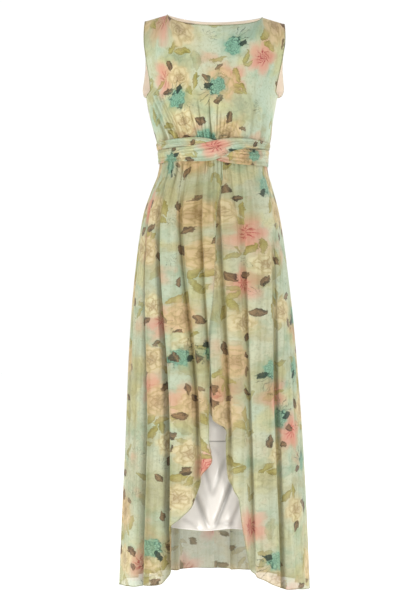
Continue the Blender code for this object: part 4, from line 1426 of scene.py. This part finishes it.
# %% The sash's two lengths
SASH_OVER = table(
    "angle upper lower out",
    (-89.9, -0.3420, -0.3745, 0.0023),
    (-70.0, -0.3415, -0.3745, 0.0044),
    (-48.0, -0.3412, -0.3745, 0.0050),
    (-38.0, -0.3405, -0.3745, 0.0076),
    (-24.0, -0.3380, -0.3755, 0.0082),
    (-10.0, -0.3320, -0.3760, 0.0084),
    (0.0, -0.3270, -0.3735, 0.0086),
    (10.0, -0.3220, -0.3630, 0.0084),
    (24.0, -0.3190, -0.3475, 0.0080),
    (38.0, -0.3195, -0.3425, 0.0074),
    (48.0, -0.3205, -0.3415, 0.0044),
    (60.0, -0.3225, -0.3412, 0.0036),
    (89.9, -0.3245, -0.3410, 0.0023),
)
SASH_UNDER = table(
    "angle upper lower out",
    (-89.9, -0.3245, -0.3415, 0.0023),
    (-60.0, -0.3215, -0.3405, 0.0040),
    (-34.0, -0.3185, -0.3394, 0.0048),
    (-20.0, -0.3175, -0.3450, 0.0048),
    (-8.0, -0.3200, -0.3580, 0.0049),
    (4.0, -0.3280, -0.3740, 0.0049),
    (14.0, -0.3360, -0.3795, 0.0049),
    (26.0, -0.3420, -0.3822, 0.0048),
    (40.0, -0.3440, -0.3832, 0.0046),
    (60.0, -0.3430, -0.3830, 0.0040),
    (89.9, -0.3420, -0.3822, 0.0023),
)
# Pleats as shares of the way from the lower edge to the upper one, at both ends and at the middle of the band
SASH_PLEATS = table(
    "at_ends at_middle width depth",
    (0.10, 0.14, 0.050, 0.0009),
    (0.27, 0.30, 0.060, 0.0013),
    (0.46, 0.44, 0.070, 0.0016),
    (0.63, 0.57, 0.055, 0.0012),
    (0.80, 0.72, 0.060, 0.0014),
    (0.92, 0.86, 0.045, 0.0009),
)
SASH_CLOTH = 0.0009


def sash_length(shape, print_place, tilt, rows=44, columns=240):
    """A band's grid: ridges exp(-((share - ridge) / width)^2) on a band that rounds over at its two edges."""
    angle = np.linspace(-90.0, 90.0, columns)[None, :]
    share = np.linspace(0, 1, rows)[:, None]
    upper, lower, out = (read(shape, "angle", k, angle) for k in ("upper", "lower", "out"))
    height = lower + share * (upper - lower)
    middle = bell(angle, 34.0)
    ridge = np.zeros(height.shape)
    for at_ends, at_middle, width, depth in zip(*SASH_PLEATS.values()):
        wander = tilt * 0.05 * np.sin(np.radians(angle) * 2.3 + at_ends * 9.0)
        centre = at_ends + (at_middle - at_ends) * middle + wander
        ridge += 1.3 * depth * bell(share - centre, width) * (0.55 + 0.45 * middle)
    rounded = 0.0010 * np.abs(2 * share - 1) ** 6
    points = section(angle + 0 * share, height, out + ridge - rounded - UNDER_FACE)
    cloth = np.stack([np.radians(angle) * 0.16 + 0 * share + print_place[0], height * 1.6 + print_place[1]], -1)
    # Painted shade in the hollows between the pleats' ridges
    doubled_and_shade = np.clip(0.55 - ridge / 0.0026, 0, 1)
    return SimpleNamespace(points=swayed(points), cloth=cloth, doubled_and_shade=doubled_and_shade)


for name, shape, print_place, tilt in (
    ("sash_over", SASH_OVER, (9.70, 0.41), 1.0),
    ("sash_under", SASH_UNDER, (10.60, 0.77), -1.0),
):
    panels[name] = sash_length(shape, print_place, tilt)
    dressed[name] = piece_of(f"{name}_chiffon", [opaque_chiffon], walled(panels[name], SASH_CLOTH))
    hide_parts(name)
    print(name, "has", weld(dressed[name]), "open edges")

# %% [markdown]
# ## Rolled edges and stitches
#
# Chiffon frays, so its free edges are rolled tightly and stitched: at the hem, up the parting of the skirt, round the
# neck and the armholes. A roll is a small flattened tube carried along the edge. Its stitches are short
# slanting threads, thousands of them, so each is only a few faces.

# %% Carry a tube along an edge
def resampled(path, step):
    """Points at even steps along a path, from its cumulative length."""
    along = np.concatenate([[0.0], np.cumsum(np.linalg.norm(np.diff(path, axis=0), axis=1))])
    at = np.linspace(0.0, along[-1], max(8, int(along[-1] / step)))
    return np.stack([np.interp(at, along, path[:, k]) for k in range(path.shape[1])], -1)


def edge_frame(path, inside):
    """Along, into-the-cloth and out-of-the-cloth directions at each point of an edge. inside is a point of the
    cloth a little way in from each one."""
    along = np.gradient(path, axis=0)
    along /= np.linalg.norm(along, axis=1, keepdims=True) + 1e-12
    inner = inside - path
    inner -= along * np.sum(inner * along, axis=1, keepdims=True)
    inner /= np.linalg.norm(inner, axis=1, keepdims=True) + 1e-12
    out = np.cross(along, inner)
    away = path.copy()
    away[:, 2] = 0.0
    out *= np.where(np.sum(out * away, axis=1, keepdims=True) < 0, -1.0, 1.0)
    return along, inner, out


def rolled(path, inside, flat, width, height, sides=8):
    """A tube of elliptic section, width across the cloth and height through it, closed by a point at each end."""
    _, inner, out = edge_frame(path, inside)
    turn = np.linspace(0, 2 * np.pi, sides, endpoint=False)[None, :, None]
    taper = np.ones(len(path))
    taper[[0, -1]] = 0.05
    taper = taper[:, None, None]
    centre = (path + inner * width / 2)[:, None, :]
    ring = inner[:, None, :] * np.cos(turn) * width / 2 + out[:, None, :] * np.sin(turn) * height / 2
    cloth = np.repeat(flat[:, None, :], sides, 1)
    return SimpleNamespace(points=centre + ring * taper, cloth=cloth, closed=True)


ROLL_STEP = 0.0035
# Where an edge runs on its grid, and the width and height of its roll
HEM = ("last_row", 0.0022, 0.0010)
LINING_ROLL = ("last_row", 0.0030, 0.0012)
NECK = ("neck", 0.0030, 0.0016)
ARMHOLES = (("armhole_first", 0.0026, 0.0015), ("armhole_last", 0.0026, 0.0015))
EDGES = {
    "skirt_front_over": [HEM],
    "skirt_front_under": [HEM],
    "skirt_back_left": [HEM],
    "skirt_back_right": [HEM],
    "bodice_front": [NECK, *ARMHOLES],
    "bodice_back_left": [NECK, ARMHOLES[1]],
    "bodice_back_right": [NECK, ARMHOLES[0]],
    "lining_front": [LINING_ROLL],
    "lining_back": [LINING_ROLL],
}


def edge_of(name, which):
    """An edge's points, the points a few rows in from it, and its place on the flat cloth."""
    panel = panels[name]
    points, cloth = panel.points, panel.cloth
    if which == "last_row":
        return points[-1], points[-4], cloth[-1]
    if which == "neck":
        place = {"bodice_front": front_places, "bodice_back_left": back_places}.get(name, -back_places[::-1])
        kept = np.abs(place) <= NECK_SHARE + 0.004
        return points[-1, kept], points[-5, kept], cloth[-1, kept]
    column, beside_it = (0, 3) if which == "armhole_first" else (-1, -4)
    kept = points[:, column, 2] > UNDERARM - 0.0005
    return points[kept, column], points[kept, beside_it], cloth[kept, column]


rolls = {}
for name, edges in EDGES.items():
    tubes = []
    for which, width, height in edges:
        both = resampled(np.concatenate(edge_of(name, which), 1), ROLL_STEP)
        tubes.append(rolled(both[:, :3], both[:, 3:6], both[:, 6:], width, height))
    finish = white_satin if name.startswith("lining") else rolled_chiffon
    rolls[name] = piece_of(f"{name}_rolled_edge", [finish], tubes, sealed=True)
    face_outwards(rolls[name].data, fill=True)
print("rolled", sum(len(tubes) for tubes in EDGES.values()), "edges")

# %% [markdown]
# A rolled edge is held by slip stitches every few millimetres. Each is drawn as a short thread that lies across the
# roll. Carrying one long thread in and out of the cloth would be truer, but most of it would be hidden.

# %% Stitch the rolled edges
STITCH = 0.0030
THREAD_WIDE = 0.00028
THREAD_HIGH = 0.00022


def stitched(name, edges):
    """A row of short slanting threads just inside an edge: each is a four-sided tube of three rings, a lens that
    lies on the cloth."""
    kept = []
    for which, width, height in edges:
        path, inside = edge_of(name, which)[:2]
        both = resampled(np.concatenate([path, inside], 1), STITCH)
        along, inner, out = edge_frame(both[:, :3], both[:, 3:6])
        middle = both[:, :3] + inner * (width * 0.72) + out * (height * 0.5)
        slant = along * 0.88 + inner * 0.47
        across = np.cross(slant, out)
        kept.append((middle, slant, across, out))
    middle, slant, across, out = (np.concatenate(a)[:, None, None, :] for a in zip(*kept))
    station = np.array([-1.0, 0.0, 1.0])[None, :, None, None]
    fat = np.array([0.25, 1.0, 0.25])[None, :, None, None]
    turn = (np.arange(4) * np.pi / 2)[None, None, :, None]
    ring = across * np.cos(turn) * THREAD_WIDE + out * np.sin(turn) * THREAD_HIGH
    return middle + slant * station * (STITCH * 0.36) + ring * fat


def thread_piece(name, points, finish):
    """Many small closed tubes as one object: sides, and a face at each end."""
    count, rings, sides = points.shape[:3]
    index = np.arange(count * rings * sides).reshape(count, rings, sides)
    after = np.roll(index, -1, 2)
    corners = np.stack([index[:, :-1], after[:, :-1], after[:, 1:], index[:, 1:]], -1).reshape(-1, 4)
    corners = np.concatenate([corners, index[:, 0, ::-1], index[:, -1]])
    mesh = bpy.data.meshes.new(name)
    mesh.from_pydata(points.reshape(-1, 3), [], corners.tolist())
    face_outwards(mesh)
    return hung(name, mesh, [finish])


threads, stitch_count = {}, 0
for name, edges in EDGES.items():
    satin_edge = name.startswith("lining")
    points = stitched(name, edges)
    finish = white_thread if satin_edge else green_thread
    threads[name] = thread_piece(f"{name}_stitches", points, finish)
    stitch_count += len(points)
print(stitch_count, "stitches of", 2 * 4 + 2, "faces each")

# %% [markdown]
# ## Say what was cut
#
# Every piece of cloth is listed with the size it was cut to before it was gathered and sewn. A cut is given as the
# width and length of the cloth it is laid out on, and as the area that is left once it is shaped: the skirt's panels
# flare from the waist to the hem, and the bodice's lose their armholes and neck. Cloth hardly stretches, so the area
# of each surface that was worked out above has to come close to that of its cut.

CUTS = {
    "skirt_front_over": ((0.50, 1.09), 0.350, "gathered", "bodice_front"),
    "skirt_front_under": ((0.50, 1.09), 0.360, "gathered", "bodice_front"),
    "skirt_back_left": ((0.47, 1.09), 0.375, "gathered", "bodice_back_left"),
    "skirt_back_right": ((0.47, 1.09), 0.370, "gathered", "bodice_back_right"),
    "lining_front": ((0.60, 0.92), 0.46, "hung", "bodice_front"),
    "lining_back": ((0.64, 0.92), 0.50, "hung", "bodice_back_left"),
    "bodice_front": ((0.48, 0.40), 0.155, "gathered", "bodice_back_left"),
    "bodice_back_left": ((0.25, 0.40), 0.072, "hung", "bodice_front"),
    "bodice_back_right": ((0.25, 0.40), 0.072, "hung", "bodice_front"),
    "sash_over": ((0.300, 0.046), None, "folded", "bodice_front"),
    "sash_under": ((0.300, 0.046), None, "folded", "bodice_front"),
}
for name, (flat, cut, held, from_) in CUTS.items():
    area = area_of(panels[name].points)
    print(name, "measures", round(area, 3), "m2, which is", round(area / (cut or flat[0] * flat[1]), 2), "of its cut")

# %% [markdown]
# ## The floor
#
# A pale floor lies a little way under the hem, as under a dress on a hanger. It is wide, so that no edge of it shows
# from any side.

# %% Lay the floor
def floor_disc(radius=14.0, height=-1.62, sides=96):
    """A flat disc: its middle and a ring of points."""
    turn = np.linspace(0, 2 * np.pi, sides, endpoint=False)
    ring = np.stack([radius * np.cos(turn), radius * np.sin(turn), np.full(sides, height)], -1)
    mesh = bpy.data.meshes.new("studio_floor")
    mesh.from_pydata(ring.tolist(), [], [list(range(sides))])
    return mesh


paper = Finish("pale_paper", Specular_IOR_Level=0.1)
speckle = paper.noise(paper.node("ShaderNodeTexCoord")["Object"], 40.0, detail=2.0, flat=False)["Fac"]
floor = bpy.data.objects.new("studio_floor", floor_disc())
floor.data.materials.append(
    paper.give(Base_Color=paper.mix(speckle, ink(255, 255, 255), ink(252, 252, 252)), Roughness=speckle * 0.05 + 0.9)
)
scene.collection.objects.link(floor)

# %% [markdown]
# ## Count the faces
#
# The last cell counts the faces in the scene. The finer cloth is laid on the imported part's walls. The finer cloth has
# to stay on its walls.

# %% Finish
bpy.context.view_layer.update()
faces = sum(len(o.data.polygons) for o in scene.objects if o.type == "MESH")
print("faces in the scene:", faces)
